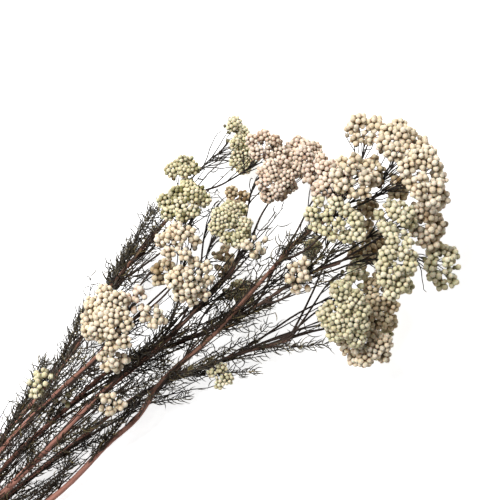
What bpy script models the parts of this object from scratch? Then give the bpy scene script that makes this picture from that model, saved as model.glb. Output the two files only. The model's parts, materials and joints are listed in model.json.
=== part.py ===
"""Dried rice flower: a loose bunch of six cut stems lying flat, cut ends at -X, flower heads at +X.

Each stem is one woody solid with its forks, the fan of stalks under every flower head and the
needle leaves of its side shoots. Each flower head is a domed crowd of round buds on a small core.
Places are (along, across, up) in millimetres: along the bunch from its cut end, across to its
left, and up from the table. Bearings are degrees round +Z, heights are degrees above the table.
"""

from collections import namedtuple

import bmesh
import bpy
import numpy as np
from mathutils import Matrix, Vector
from mathutils.geometry import delaunay_2d_cdt

MM = 0.001
SOLVER = "EXACT"
ROUGHNESS = 0.8
GOLDEN_ANGLE = np.radians(137.508)
UP = np.array((0.0, 0.0, 1.0))

# Clear air between two pieces that touch on the real plant, and round a needle leaf.
SEAT_GAP = 0.3
NEEDLE_GAP = 0.5

# Each rod's corners are turned a little further than the last one's, so that no faces line up.
TWIST_STEP = 0.7
STEM_SIDES = 6
TWIG_SIDES = 3
BRANCH_STEPS = 4
SHOOT_STEPS = 2
BRANCH_RADII = (1.2, 0.8)
TWIG_RADII = (0.6, 0.6)
SHOOT_RADII = (0.9, 0.6)
# How far a branch keeps its stem's direction, and its head's, as shares of its length.
LEAVING_PULL = 0.2
ARRIVING_PULL = 0.3

# A bud's first radius, as a share of the mean spacing its head leaves it, and its greatest growth.
BUD_FILL = 0.98
BUD_GROWTH = 1.4
# Foot, waist and top of a bud as shares of its radius: how far out of the core's skin, how wide.
BUD_SIDES = 5
BUD_HEIGHTS = (0.0, 0.8, 1.7)
BUD_WIDTHS = (0.55, 1.0, 0.0)
BUD_SEAT = 0.75
# Rounds of pushing the buds apart, and how far each round moves them.
BUD_ROUNDS = 80
BUD_PUSH = 0.25
BUD_SPACING = 1.8
# The core under the buds: its sides, its margin past the outer buds' middles as a share of their
# radius, how far the dome's slope tips the buds, its edge, and its flat underside's width.
CORE_SIDES = 8
CORE_MARGIN = 0.6
CORE_TIP = 0.5
CORE_EDGE = 0.9
CORE_FLOOR = 0.7
# Balls that stand for the core when branches keep clear of it: radius, how many to a ring, rings.
CORE_ROD = 2.0
CORE_GUARDS = 14
CORE_RINGS = (0.4, 0.75, 1.0)

# Stalks under a head: their reach along its core, and the lengths tried, as shares of its width.
FAN_REACH = 0.5
FAN_SHARES = (0.45, 0.33, 0.22)
LARGE_HEAD = 27.0

# A branch that would cross another piece slips back along its stem, or bends to one side.
SLIPS = (0, -12, -24)
BENDS = (0, 4, 8, 13, 19)
BEND_WAYS = 8
# A leafy shoot is cut back to these shares of its length until it clears every other piece.
SHOOT_SHARES = (1.0, 0.85, 0.7)

NEEDLES_PER_SHOOT = 6
NEEDLE_LENGTH = 10.0
NEEDLE_RADIUS = 0.45
NEEDLE_SPREAD = np.radians(40)
NEEDLE_STRETCH = (0.22, 0.96)

Stem = namedtuple("Stem", "butt tip route")
STEMS = {
    "stem_1": Stem(1.8, 0.9, [
        (8, -9.05, 2.1), (20, -9.05, 2.1), (60, 5, 5.5), (110, 21, 12), (150, 30, 17), (180, 40, 22),
        (207, 52, 26), (254, 65, 32), (285, 71, 34),
    ]),
    "stem_2": Stem(2.2, 0.9, [
        (0, -9.95, 6.4), (20, -9.95, 6.4), (60, 1, 15), (106, 15, 29), (147, 21, 38),
        (186, 25, 47), (215, 32, 53),
    ]),
    "stem_3": Stem(2.7, 1.0, [
        (5, -15.2, 6.75), (20, -15.2, 6.75), (50, -13, 11), (89, -8, 18), (132, -2, 26),
        (170, 5, 33), (223, 9, 40), (277, 18, 44), (290, 24, 45),
    ]),
    "stem_4": Stem(2.3, 1.1, [
        (2, -22, 1.9), (20, -22, 1.9), (60, -28, 2.6), (112, -29.5, 8), (154, -23, 16),
        (180, -20, 22), (204, -10.5, 29), (219, -8, 33), (250, -5, 42), (290, 3, 51), (325, 11, 56),
        (345, 11, 58),
    ]),
    "stem_5": Stem(1.9, 0.9, [
        (10, -13.1, 2.1), (20, -13.1, 2.1), (50, -8, 5), (98, 4, 13), (145, 10, 19),
        (188, 14, 26), (230, 2, 28), (271, -6, 40), (313, -8, 52), (335, -14, 58),
    ]),
    "stem_6": Stem(2.0, 0.9, [
        (6, -17.35, 2.2), (20, -17.35, 2.2), (50, -16, 4), (95, -12, 8), (168, -9, 11),
        (201, -12, 13), (226, -18, 16), (256, -25, 20), (285, -36, 24),
    ]),
}

# fork: how far along its stem the head's branch leaves. place: middle of the rim.
# facing: bearing and height of the crown. lie: bearing of the long side. size: long and short
# side. rise: crown above rim.
Head = namedtuple("Head", "stem fork place facing lie size rise buds tone")
HEADS = {
    "head_01": Head("stem_1", 105, (146, 33, 26), (104, 40), 14, (24, 13), 3, 8, "green"),
    "head_02": Head("stem_2", 130, (205.5, 39, 66), (114, 65), 79, (36, 27), 6.5, 16, "cream"),
    "head_03": Head("stem_2", 150, (194, 18, 62), (-96, 70), 1, (17, 12), 3, 6, "cream"),
    "head_04": Head("stem_2", 180, (226.5, 38, 62), (0, 80), 0, (12, 11), 2.5, 5, "pink"),
    "head_05": Head("stem_2", 180, (228, 25, 66), (-60, 75), 20, (13, 11), 2.5, 5, "cream"),
    "head_06": Head("stem_2", 212, (267, 52, 74), (84, 65), -36, (23, 19), 5, 8, "cream"),
    "head_07": Head("stem_2", 205, (259.5, 28, 69), (-96, 75), 84, (25, 22), 5, 10, "cream"),
    "head_08": Head("stem_2", 192, (248, 42, 53), (-90, 60), 0, (15, 12), 3, 5, "tan"),
    "head_09": Head("stem_1", 215, (283, 70, 50), (74, 50), -16, (28, 26), 6, 12, "green"),
    "head_10": Head("stem_1", 230, (294, 87.5, 41.5), (64, 45), -26, (18, 14), 3.5, 6, "green"),
    "head_11": Head("stem_3", 232, (298, 41, 60), (-6, 60), -36, (23, 21), 5, 10, "green"),
    "head_12": Head("stem_3", 245, (308, 53, 28), (-6, 10), -66, (18, 11), 4, 6, "tan"),
    "head_13": Head("stem_3", 258, (301, 22, 66), (-36, 60), -56, (14, 12), 3, 5, "cream"),
    "head_14": Head("stem_3", 215, (281, 27, 26), (-30, 30), 54, (17, 12), 4, 6, "tan"),
    "head_15": Head("stem_6", 205, (277, 6, 20), (-20, 30), -36, (23, 13), 4, 7, "green"),
    "head_16": Head("stem_5", 258, (311, -7, 68), (-36, 50), 64, (18, 13), 4, 7, "cream"),
    "head_17": Head("stem_1", 265, (329, 78, 9.5), (-26, 25), 62, (40, 17), 5, 15, "green"),
    "head_18": Head("stem_1", 282, (342, 68.5, 41), (24, 40), -36, (21, 19), 4.5, 8, "pink"),
    "head_19": Head("stem_3", 275, (333.5, 48, 56), (-56, 60), -36, (26, 22), 5, 11, "pink"),
    "head_20": Head("stem_3", 288, (357, 48.5, 29.5), (14, 45), -96, (28, 24), 6, 11, "pink"),
    "head_21": Head("stem_4", 300, (358.5, 31, 60), (24, 60), -36, (27, 24), 5, 11, "pink"),
    "head_22": Head("stem_4", 325, (395, 40.5, 48), (54, 50), -36, (22, 19), 6, 8, "cream"),
    "head_23": Head("stem_4", 338, (408, 19, 61), (24, 45), -56, (31, 27), 6, 13, "cream"),
    "head_24": Head("stem_4", 343, (404, -3, 79), (-16, 60), -81, (31, 27), 6, 12, "cream"),
    "head_25": Head("stem_5", 333, (392, -27, 53.5), (-36, 45), 59, (29, 23), 5, 11, "cream"),
    "head_26": Head("stem_5", 322, (384.5, -53, 43), (-56, 60), -96, (25, 21), 5, 10, "green"),
    "head_27": Head("stem_4", 310, (370, 22, 80), (0, 70), -56, (26, 23), 5, 10, "cream"),
    "head_28": Head("stem_5", 285, (346, 8, 80), (-150, 72), -71, (36, 19), 4.5, 12, "green"),
    "head_29": Head("stem_5", 318, (377, -12.5, 68), (0, 75), -66, (25, 18), 4.5, 10, "green"),
    "head_30": Head("stem_5", 298, (361, -35, 76), (-56, 60), 64, (34, 23), 5, 13, "green"),
    "head_31": Head("stem_6", 280, (357, -19, 28), (-60, 40), -36, (25, 21), 4.5, 9, "tan"),
    "head_32": Head("stem_6", 250, (319, -41, 56), (-136, 60), 54, (35, 26), 5, 13, "green"),
    "head_33": Head("stem_6", 240, (318, -65.5, 37), (-126, 60), -36, (29, 23), 5, 11, "cream"),
    "head_34": Head("stem_6", 270, (342, -50, 30), (-66, 50), 74, (36, 26), 6, 14, "tan"),
    "head_35": Head("stem_6", 283, (340, -26, 47), (-36, 40), 54, (16, 13), 3, 6, "green"),
    "head_36": Head("stem_6", 222, (326, -73, 10.1), (-96, 40), 64, (23, 13), 4, 8, "green"),
    "head_37": Head("stem_6", 190, (237.5, -28, 36), (-90, 65), -36, (12, 10), 3, 4, "green"),
    "head_38": Head("stem_3", 140, (175, -2.5, 45), (-80, 60), -30, (14, 11), 2.5, 5, "cream"),
    "head_39": Head("stem_5", 275, (329, 3, 44), (-60, 50), 54, (13, 10), 2.5, 4, "green"),
    "head_40": Head("stem_4", 330, (384, 18, 54), (-20, 45), 60, (16, 13), 3, 6, "tan"),
    "head_41": Head("stem_4", 336, (390, 1, 58), (-30, 50), 50, (17, 13), 3, 6, "tan"),
    "head_42": Head("stem_5", 125, (151, 16, 31), (-60, 60), 0, (9, 8), 2, 3, "green"),
    "head_43": Head("stem_5", 300, (366, -1, 40), (-60, 40), 50, (19, 14), 3.5, 7, "tan"),
}

# Leafy side shoots: how far along its stem each one leaves, and the place of its tip.
SHOOTS = {
    "stem_1": [
        (100, (152, 42, 9)), (138, (193, 54, 16)), (178, (238, 68, 20)), (205, (263, 78, 25)),
    ],
    "stem_2": [(70, (128, 26, 34)), (120, (176, 36, 50)), (150, (213, 12, 56))],
    "stem_3": [
        (60, (118, -2, 24)), (110, (165, -8, 36)), (150, (207, -6, 46)), (190, (246, 22, 50)),
        (235, (287, 8, 56)),
    ],
    "stem_4": [
        (80, (128, -19, 7)), (125, (178, -12, 26)), (195, (242, -18, 42)), (240, (289, -10, 44)),
        (300, (337, 14, 68)),
    ],
    "stem_5": [
        (70, (122, 12, 8)), (120, (166, 20, 24)), (165, (214, -4, 32)), (240, (289, 4, 34)),
        (290, (334, -4, 66)),
    ],
    "stem_6": [
        (60, (108, -24, 4)), (110, (160, -20, 6)), (160, (212, -28, 10)), (205, (256, -40, 16)),
        (245, (302, -52, 20)),
    ],
}

TONES = {
    "cream": (0.74, 0.62, 0.45),
    "pink": (0.72, 0.56, 0.43),
    "green": (0.62, 0.60, 0.36),
    "tan": (0.46, 0.36, 0.24),
}
WOOD_COLOUR = (0.10, 0.055, 0.035)


def unit(way):
    return way / np.linalg.norm(way)


def bearing(azimuth, height=0.0):
    """Unit vector at the given bearing round +Z and height above the table, in degrees."""
    turn, climb = np.radians((azimuth, height))
    return np.array((np.cos(turn) * np.cos(climb), np.sin(turn) * np.cos(climb), np.sin(climb)))


def square_to(way, guide):
    """Two unit vectors square to way and to each other, the first one nearest to guide."""
    first = unit(guide - way * (guide @ way))
    return first, np.cross(way, first)


def frames(points):
    """Direction of a route at each point, with two unit vectors square to it that don't twist."""
    ahead = np.gradient(points, axis=0)
    ahead /= np.linalg.norm(ahead, axis=1)[:, None]
    side = square_to(ahead[0], UP + 0.01)[0]
    sides, lifts = [], []
    for way in ahead:
        side, lift = square_to(way, side)
        sides.append(side)
        lifts.append(lift)
    return ahead, np.array(sides), np.array(lifts)


def bezier(start, start_pull, end_pull, end, steps):
    t = np.linspace(0, 1, steps + 1)[:, None]
    s = 1 - t
    return s**3 * start + 3 * s**2 * t * start_pull + 3 * s * t**2 * end_pull + t**3 * end


def spread_plan(count, half, reach, rise):
    """Even places on a dome: a golden-angle spiral whose near points push each other apart."""
    number = np.arange(count)
    out = np.sqrt((number + 0.5) / count)
    turn = number * GOLDEN_ANGLE
    spots = np.column_stack((out * np.cos(turn), out * np.sin(turn))) * reach
    ideal = BUD_SPACING * np.sqrt((half[0] * half[1] + rise * rise) / count)
    for _ in range(BUD_ROUNDS):
        height = -rise * np.sum((spots / reach) ** 2, axis=1)
        apart = spots[:, None] - spots
        climb = height[:, None] - height
        distance = np.sqrt(np.sum(apart * apart, axis=2) + climb * climb) + np.eye(count) * 1e6
        push = np.maximum(ideal - distance, 0) / distance
        spots = spots + BUD_PUSH * np.sum(apart * push[:, :, None], axis=1)
        edge = np.linalg.norm(spots / reach, axis=1)
        spots /= np.maximum(edge, 1)[:, None]
    return spots


class Crown:
    """A head's own frame, with its long and short way and its crown direction, and its buds."""

    def __init__(self, head):
        self.place = np.array(head.place, float)
        self.facing = bearing(*head.facing)
        self.ways = np.array(square_to(self.facing, bearing(head.lie)))
        self.rise = head.rise
        half = np.array(head.size) / 2
        self.bud_radius = BUD_FILL * np.sqrt(half[0] * half[1]) / (np.sqrt(head.buds) + BUD_FILL)
        self.reach = half - self.bud_radius
        self.spots = spread_plan(head.buds, half, self.reach, head.rise)
        apart = self.middles()[:, None] - self.middles()
        apart = np.linalg.norm(apart, axis=2) + np.eye(head.buds) * 1e6
        self.bud_radius = min(BUD_GROWTH * self.bud_radius, apart.min() / 2)
        turns = np.arange(CORE_SIDES) * 2 * np.pi / CORE_SIDES
        around = np.column_stack((np.cos(turns), np.sin(turns)))
        margin = CORE_MARGIN * self.bud_radius
        self.rim = around * (self.reach + margin) / np.cos(np.pi / CORE_SIDES)
        steepest = 2 * self.rise / self.reach.min()
        self.rim_height = -BUD_SEAT * self.bud_radius - CORE_TIP * steepest * margin
        self.floor = self.rim_height - CORE_EDGE

    def at(self, plan, height):
        """World point over a plan spot, at a height over the rim along the crown direction."""
        return self.place + np.array(plan) @ self.ways + self.facing * height

    def skin(self, spot):
        """Point of the core's dome at a plan spot, and the way that a bud there stands out."""
        plan = spot / self.reach
        height = self.rise * (1 - plan @ plan) - BUD_SEAT * self.bud_radius
        tip = CORE_TIP * 2 * self.rise * plan / self.reach
        return np.array((*spot, height)), unit(np.array((*tip, 1.0)))

    def middles(self):
        """World places of the buds' middles."""
        places = []
        for spot in self.spots:
            skin, out = self.skin(spot)
            skin = skin + out * BUD_SEAT * self.bud_radius
            places.append(self.at(skin[:2], skin[2]))
        return np.array(places)

    def core_middles(self):
        """World places inside the core that stand for it when other pieces keep clear."""
        turns = np.arange(CORE_GUARDS) * 2 * np.pi / CORE_GUARDS
        around = np.column_stack((np.cos(turns), np.sin(turns)))
        spots = np.vstack([(0, 0), *(around * share for share in CORE_RINGS)]) * self.reach
        return [self.at(spot, self.floor + CORE_ROD) for spot in spots]


class Crowd:
    """Every piece placed so far, as round rods with an owner, to keep a new piece clear of them."""

    def __init__(self):
        self.rods = []
        self.owners = []

    def add(self, owner, points, radii):
        points = np.atleast_2d(points)
        radii = np.broadcast_to(radii, len(points))
        for i in range(max(len(points) - 1, 1)):
            j = min(i + 1, len(points) - 1)
            self.rods.append((*points[i], *points[j], max(radii[i], radii[j])))
            self.owners.append(owner)

    def air(self, own, points, radii):
        """Least clear air between a polyline and the table or any rod of an owner not in own."""
        points = np.atleast_2d(points)
        radii = np.broadcast_to(radii, len(points))
        spots, rims = [points[:1]], [radii[:1]]
        for i in range(len(points) - 1):
            count = max(int(np.linalg.norm(points[i + 1] - points[i])), 1)
            t = np.linspace(0, 1, count + 1)[1:]
            spots.append(points[i] + t[:, None] * (points[i + 1] - points[i]))
            rims.append(radii[i] + t * (radii[i + 1] - radii[i]))
        spots = np.concatenate(spots)
        rims = np.concatenate(rims)
        least = np.min(spots[:, 2] - rims)
        others = np.array([owner not in own for owner in self.owners])
        if not others.any():
            return least
        rods = np.array(self.rods)[others]
        start, span = rods[:, :3], rods[:, 3:6] - rods[:, :3]
        length = np.maximum(np.sum(span * span, axis=1), 1e-9)
        offset = spots[:, None, :] - start
        t = np.clip(np.sum(offset * span, axis=2) / length, 0, 1)
        away = np.linalg.norm(offset - t[:, :, None] * span, axis=2) - rods[:, 6] - rims[:, None]
        return min(least, away.min())


def bends(way):
    """Side steps to try, smallest first, all round a chord that runs this way."""
    side, lift = square_to(unit(way), UP + 0.01)
    for size in BENDS:
        for turn in np.arange(BEND_WAYS if size else 1) * 2 * np.pi / BEND_WAYS:
            yield size * (np.cos(turn) * side + np.sin(turn) * lift)


class Bunch:
    """Works out where every rod of wood and every bud goes, each clear of the other nodes."""

    def __init__(self):
        self.crowd = Crowd()
        self.crowns = {name: Crown(head) for name, head in HEADS.items()}
        self.wood = {name: [] for name in STEMS}
        self.shoots = {name: [] for name in STEMS}
        for name, stem in STEMS.items():
            route = np.array(stem.route, float)
            radii = np.linspace(stem.butt, stem.tip, len(route))
            self.place_rod(name, route, radii, STEM_SIDES)
        for name, crown in self.crowns.items():
            for middle in crown.middles():
                self.crowd.add(name, middle, crown.bud_radius)
        for name, crown in self.crowns.items():
            for middle in crown.core_middles():
                self.crowd.add(name + " core", middle, CORE_ROD)
        for name in HEADS:
            self.place_branch(name)
        for name in STEMS:
            for fork, tip in SHOOTS[name]:
                self.place_shoot(name, fork, np.array(tip, float))

    def place_rod(self, owner, points, radii, sides, twist=0.0):
        self.crowd.add(owner, points, radii)
        self.wood[owner].append((points, radii, sides, twist))

    def fork(self, name, along):
        """Point of a stem's middle line at a distance along, and the stem's direction there."""
        route = np.array(STEMS[name].route, float)
        along = min(max(along, route[0, 0]), route[-1, 0])
        point = np.array([np.interp(along, route[:, 0], route[:, axis]) for axis in range(3)])
        link = min(max(np.searchsorted(route[:, 0], along), 1), len(route) - 1)
        return point, unit(route[link] - route[link - 1])

    def fan(self, head, crown, share):
        """Where the side stalks leave the branch, its end under the core, and the side stalks."""
        seat = crown.floor - SEAT_GAP
        end = crown.at((0, 0), seat)
        hub = end - crown.facing * share * head.size[1]
        if head.size[0] < LARGE_HEAD:
            return hub, end, []
        twigs = []
        for side in (-FAN_REACH, FAN_REACH):
            spot = crown.at((side * crown.reach[0], 0), seat)
            slant = np.linalg.norm(np.cross(unit(spot - hub), crown.facing))
            twigs.append(np.array([hub, spot - crown.facing * TWIG_RADII[0] * slant]))
        return hub, end, twigs

    def branch(self, head, crown, hub, end, slip, bend):
        """Route from a fork on the stem that turns into the head's direction before the hub."""
        start, start_way = self.fork(head.stem, head.fork + slip)
        reach = np.linalg.norm(hub - start)
        route = bezier(
            start, start + start_way * LEAVING_PULL * reach + bend,
            hub - crown.facing * ARRIVING_PULL * reach + bend, hub, BRANCH_STEPS,
        )
        return np.vstack((route, end))

    def clear_branch(self, name):
        """First fan, fork and bend of a head's branch that clear every other node."""
        head, crown = HEADS[name], self.crowns[name]
        own = {head.stem, name + " core"}
        for share in FAN_SHARES:
            hub, end, twigs = self.fan(head, crown, share)
            if twigs and min(self.crowd.air(own, twig, TWIG_RADII[0]) for twig in twigs) < SEAT_GAP:
                continue
            for slip in SLIPS:
                for bend in bends(end - self.fork(head.stem, head.fork + slip)[0]):
                    route = self.branch(head, crown, hub, end, slip, bend)
                    radii = np.linspace(*BRANCH_RADII, len(route))
                    if self.crowd.air(own, route[1:], radii[1:]) >= SEAT_GAP:
                        return route, radii, twigs
        raise ValueError(f"the branch of {name} finds no clear way")

    def place_branch(self, name):
        stem = HEADS[name].stem
        route, radii, twigs = self.clear_branch(name)
        twist = TWIST_STEP * len(self.wood[stem])
        self.place_rod(stem, route, radii, TWIG_SIDES, twist)
        for twig in twigs:
            self.place_rod(stem, twig, np.array(TWIG_RADII), TWIG_SIDES, 2 * twist)

    def place_shoot(self, name, fork, tip):
        start, start_way = self.fork(name, fork)
        for share in SHOOT_SHARES:
            end = start + share * (tip - start)
            reach = np.linalg.norm(end - start)
            for bend in bends(end - start):
                route = bezier(
                    start, start + start_way * 0.4 * reach + bend,
                    end - unit(end - start) * 0.3 * reach + bend, end, SHOOT_STEPS,
                )
                radii = np.linspace(*SHOOT_RADII, len(route))
                if self.crowd.air({name}, route[1:], radii[1:]) >= SEAT_GAP:
                    self.place_rod(name, route, radii, TWIG_SIDES)
                    self.shoots[name].append(route)
                    return
        raise ValueError(f"the shoot at {fork} of {name} finds no clear way")

    def needles(self, name):
        """Needle leaves in three rows along each shoot, left out where they would touch."""
        kept = []
        for route in self.shoots[name]:
            knots = np.linspace(0, 1, len(route))
            ahead, side, lift = frames(route)
            for i, share in enumerate(np.linspace(*NEEDLE_STRETCH, NEEDLES_PER_SHOOT)):
                root = np.array([np.interp(share, knots, route[:, axis]) for axis in range(3)])
                link = min(int(share * (len(route) - 1)), len(route) - 2)
                turn = (i + 0.5) * 2 * np.pi / TWIG_SIDES
                out = np.cos(turn) * side[link] + np.sin(turn) * lift[link]
                way = np.cos(NEEDLE_SPREAD) * ahead[link] + np.sin(NEEDLE_SPREAD) * out
                leaf = np.array((root, root + way * NEEDLE_LENGTH))
                radii = np.array((NEEDLE_RADIUS, 0.0))
                if self.crowd.air({name}, leaf, radii) >= NEEDLE_GAP:
                    self.crowd.add(name, leaf, NEEDLE_RADIUS * 0.5)
                    kept.append(leaf)
        return kept


def rod_mesh(points, radii, sides, twist=0.0):
    """Closed tube of triangles with its rings square to the route, or a spike where it ends at 0."""
    turns = np.arange(sides) * 2 * np.pi / sides + twist
    bm = bmesh.new()
    rings = []
    for point, side, lift, radius in zip(points, *frames(points)[1:], radii):
        if radius == 0:
            rings.append([bm.verts.new(Vector(point * MM))] * sides)
            continue
        spots = [point + radius * (np.cos(turn) * side + np.sin(turn) * lift) for turn in turns]
        rings.append([bm.verts.new(Vector(spot * MM)) for spot in spots])
    bm.faces.new(rings[0][::-1])
    if radii[-1] > 0:
        bm.faces.new(rings[-1])
    for low, high in zip(rings, rings[1:]):
        for i in range(sides):
            j = (i + 1) % sides
            bm.faces.new((low[i], low[j], high[i]))
            if high[i] is not high[j]:
                bm.faces.new((low[j], high[j], high[i]))
    return bm


def bud_rings(crown, spot):
    """Foot ring, waist ring and top of one bud, in the head's own frame."""
    skin, out = crown.skin(spot)
    side, lift = square_to(out, np.array((1.0, 0.0, 0.0)))
    turns = np.arange(BUD_SIDES)[:, None] * 2 * np.pi / BUD_SIDES
    around = np.cos(turns) * side + np.sin(turns) * lift
    return [
        skin + crown.bud_radius * (out * height + around * width)
        for height, width in zip(BUD_HEIGHTS, BUD_WIDTHS)
    ]


def head_mesh(crown):
    """Head as one skin: a low dome with a flat underside, with every bud raised out of it."""
    bm = bmesh.new()

    def corners(points):
        return [bm.verts.new(Vector(crown.at(point[:2], point[2]) * MM)) for point in points]

    rings = [bud_rings(crown, spot) for spot in crown.spots]
    flats = np.vstack([np.column_stack((crown.rim, [crown.rim_height] * CORE_SIDES))]
                      + [foot for foot, _, _ in rings])
    skin = corners(flats)
    feet = [list(range(first, first + BUD_SIDES)) for first in range(CORE_SIDES, len(flats), BUD_SIDES)]
    plan = [Vector(point[:2]) for point in flats]
    _, _, triangles, _, _, inside = delaunay_2d_cdt(plan, [], feet, 0, 1e-6, True)
    for triangle, foot in zip(triangles, inside):
        if not foot:
            bm.faces.new([skin[i] for i in triangle])
    for foot, (_, waist, top) in zip(feet, rings):
        waist, top = corners(waist), corners(top[:1])[0]
        for i in range(BUD_SIDES):
            j = (i + 1) % BUD_SIDES
            bm.faces.new((skin[foot[i]], skin[foot[j]], waist[i]))
            bm.faces.new((skin[foot[j]], waist[j], waist[i]))
            bm.faces.new((waist[i], waist[j], top))
    floor = corners([(*(spot * CORE_FLOOR), crown.floor) for spot in crown.rim])
    bm.faces.new(floor)
    for i in range(CORE_SIDES):
        j = (i + 1) % CORE_SIDES
        bm.faces.new((floor[i], floor[j], skin[i]))
        bm.faces.new((floor[j], skin[j], skin[i]))
    return bm


def add_solid(name, bm, collection):
    bmesh.ops.triangulate(bm, faces=bm.faces[:])
    bmesh.ops.recalc_face_normals(bm, faces=bm.faces[:])
    mesh = bpy.data.meshes.new(name)
    bm.to_mesh(mesh)
    bm.free()
    solid = bpy.data.objects.new(name, mesh)
    collection.objects.link(solid)
    return solid


def boolean(solid, operation, **operands):
    cut = solid.modifiers.new(operation.lower(), "BOOLEAN")
    cut.operation = operation
    cut.solver = SOLVER
    for key, value in operands.items():
        setattr(cut, key, value)


def fuse(name, base, repeats, colour):
    """Join closed shapes into one node with one union, and flatten what would reach the table."""
    solid = add_solid(name, base, bpy.context.scene.collection)
    group = bpy.data.collections.new(name + "_repeats")
    bpy.context.scene.collection.children.link(group)
    for repeat in repeats:
        add_solid(name + "_repeat", repeat, group)
    if repeats:
        boolean(solid, "UNION", operand_type="COLLECTION", collection=group)
    table = bmesh.new()
    bmesh.ops.create_cube(table, size=1, matrix=Matrix.Translation((0.25, 0, -0.5)))
    table = add_solid("table", table, bpy.context.scene.collection)
    bpy.context.view_layer.update()
    if min(v.co.z for part in [solid, *group.objects] for v in part.data.vertices) < 0:
        boolean(solid, "DIFFERENCE", operand_type="OBJECT", object=table)
    depsgraph = bpy.context.evaluated_depsgraph_get()
    joined = bpy.data.meshes.new_from_object(solid.evaluated_get(depsgraph))
    solid.modifiers.clear()
    solid.data = joined
    for spent in [*group.objects, table]:
        bpy.data.objects.remove(spent)
    bpy.data.collections.remove(group)
    joined.materials.clear()
    joined.materials.append(make_material(name, colour))
    return solid


def make_material(name, colour):
    material = bpy.data.materials.new(name)
    material.use_nodes = True
    shader = material.node_tree.nodes["Principled BSDF"]
    shader.inputs["Base Color"].default_value = (*colour, 1)
    shader.inputs["Roughness"].default_value = ROUGHNESS
    shader.inputs["Metallic"].default_value = 0
    return material


def make_stem(bunch, name):
    rods = [rod_mesh(*rod) for rod in bunch.wood[name]]
    spike = np.array((NEEDLE_RADIUS, 0.0))
    rods += [
        rod_mesh(leaf, spike, TWIG_SIDES, TWIST_STEP * i) for i, leaf in enumerate(bunch.needles(name))
    ]
    return fuse(name, rods[0], rods[1:], WOOD_COLOUR)


def make_head(bunch, name):
    return fuse(name, head_mesh(bunch.crowns[name]), [], TONES[HEADS[name].tone])


def main():
    for old in list(bpy.data.objects):
        bpy.data.objects.remove(old)
    bunch = Bunch()
    solids = [make_stem(bunch, name) for name in STEMS]
    solids += [make_head(bunch, name) for name in HEADS]
    corners = np.array([corner for solid in solids for corner in solid.bound_box])
    low, high = corners.min(axis=0), corners.max(axis=0)
    for solid in solids:
        solid.location = (-(low[0] + high[0]) / 2, -(low[1] + high[1]) / 2, 0)
    return bunch, solids


main()
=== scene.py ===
"""Looks of a dried rice flower bunch: bark, needle leaves, fine stalks and papery round buds."""

import json
from collections import namedtuple

import bpy
import numpy as np
from mathutils import Matrix


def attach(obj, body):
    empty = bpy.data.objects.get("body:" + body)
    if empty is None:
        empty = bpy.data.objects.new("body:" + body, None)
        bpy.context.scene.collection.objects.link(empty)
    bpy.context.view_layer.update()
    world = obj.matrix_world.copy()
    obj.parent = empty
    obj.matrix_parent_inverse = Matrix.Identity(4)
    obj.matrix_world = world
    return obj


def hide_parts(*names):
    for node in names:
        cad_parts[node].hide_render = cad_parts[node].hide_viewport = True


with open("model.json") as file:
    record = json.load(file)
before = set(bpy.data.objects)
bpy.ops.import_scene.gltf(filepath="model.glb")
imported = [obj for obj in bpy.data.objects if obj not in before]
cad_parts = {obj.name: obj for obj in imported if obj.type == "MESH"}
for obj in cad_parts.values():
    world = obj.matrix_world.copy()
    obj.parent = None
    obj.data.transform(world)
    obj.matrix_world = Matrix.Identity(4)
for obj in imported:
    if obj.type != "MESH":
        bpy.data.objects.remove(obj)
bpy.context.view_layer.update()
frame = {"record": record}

# %% [markdown]
# The bunch is laid out in millimetres, as (along, across, up): along from its cut ends, across to
# its left and up from the table. The frame is in metres round its own middle. The flat spot that
# the lowest stem rests on has a known place in both, so it tells how far to slide.
# %% From the bunch's millimetres to the frame's metres
MM = 0.001
RESTING_SPOT = np.array((12.0, -22.0, 0.0))
SLIDE = np.array(frame["record"]["mounts"][0]["pos_m"]) - RESTING_SPOT * MM
UP = np.array((0.0, 0.0, 1.0))
GOLDEN_ANGLE = np.radians(137.508)
TURN = 2 * np.pi
FAR_OFF = 1e6


def to_frame(places):
    """Places in mm to the frame's metres: a thousandth of each, plus the slide."""
    return np.asarray(places, float) * MM + SLIDE


def put(name, data):
    """A new object in the scene, made of this mesh, lamp or camera."""
    made = bpy.data.objects.new(name, data)
    bpy.context.scene.collection.objects.link(made)
    return made


print("slide in mm:", np.round(SLIDE / MM, 2))

# %% [markdown]
# The camera looks straight down, turned so that the stems rise from the picture's lower left to
# its upper right. Its place follows from what lies in the middle of the picture and from how wide
# a stretch of the table the picture shows.
# %% Camera
PICTURE_MIDDLE = (297.0, 23.0, 45.0)
PICTURE_WIDTH = 300.0
PICTURE_TURN = np.radians(36)
LENS = 100.0
SENSOR = 36.0


def make_camera():
    """A camera that looks along -Z from as high as its lens needs to show the picture's width."""
    data = bpy.data.cameras.new("camera")
    data.lens = LENS
    data.sensor_width = SENSOR
    camera = put("camera", data)
    height = PICTURE_WIDTH * MM * LENS / SENSOR
    camera.location = to_frame(PICTURE_MIDDLE) + UP * height
    camera.rotation_euler = (0, 0, -PICTURE_TURN)
    bpy.context.scene.camera = camera
    return camera


camera = make_camera()
print("camera at", tuple(round(value, 3) for value in camera.location))

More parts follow.
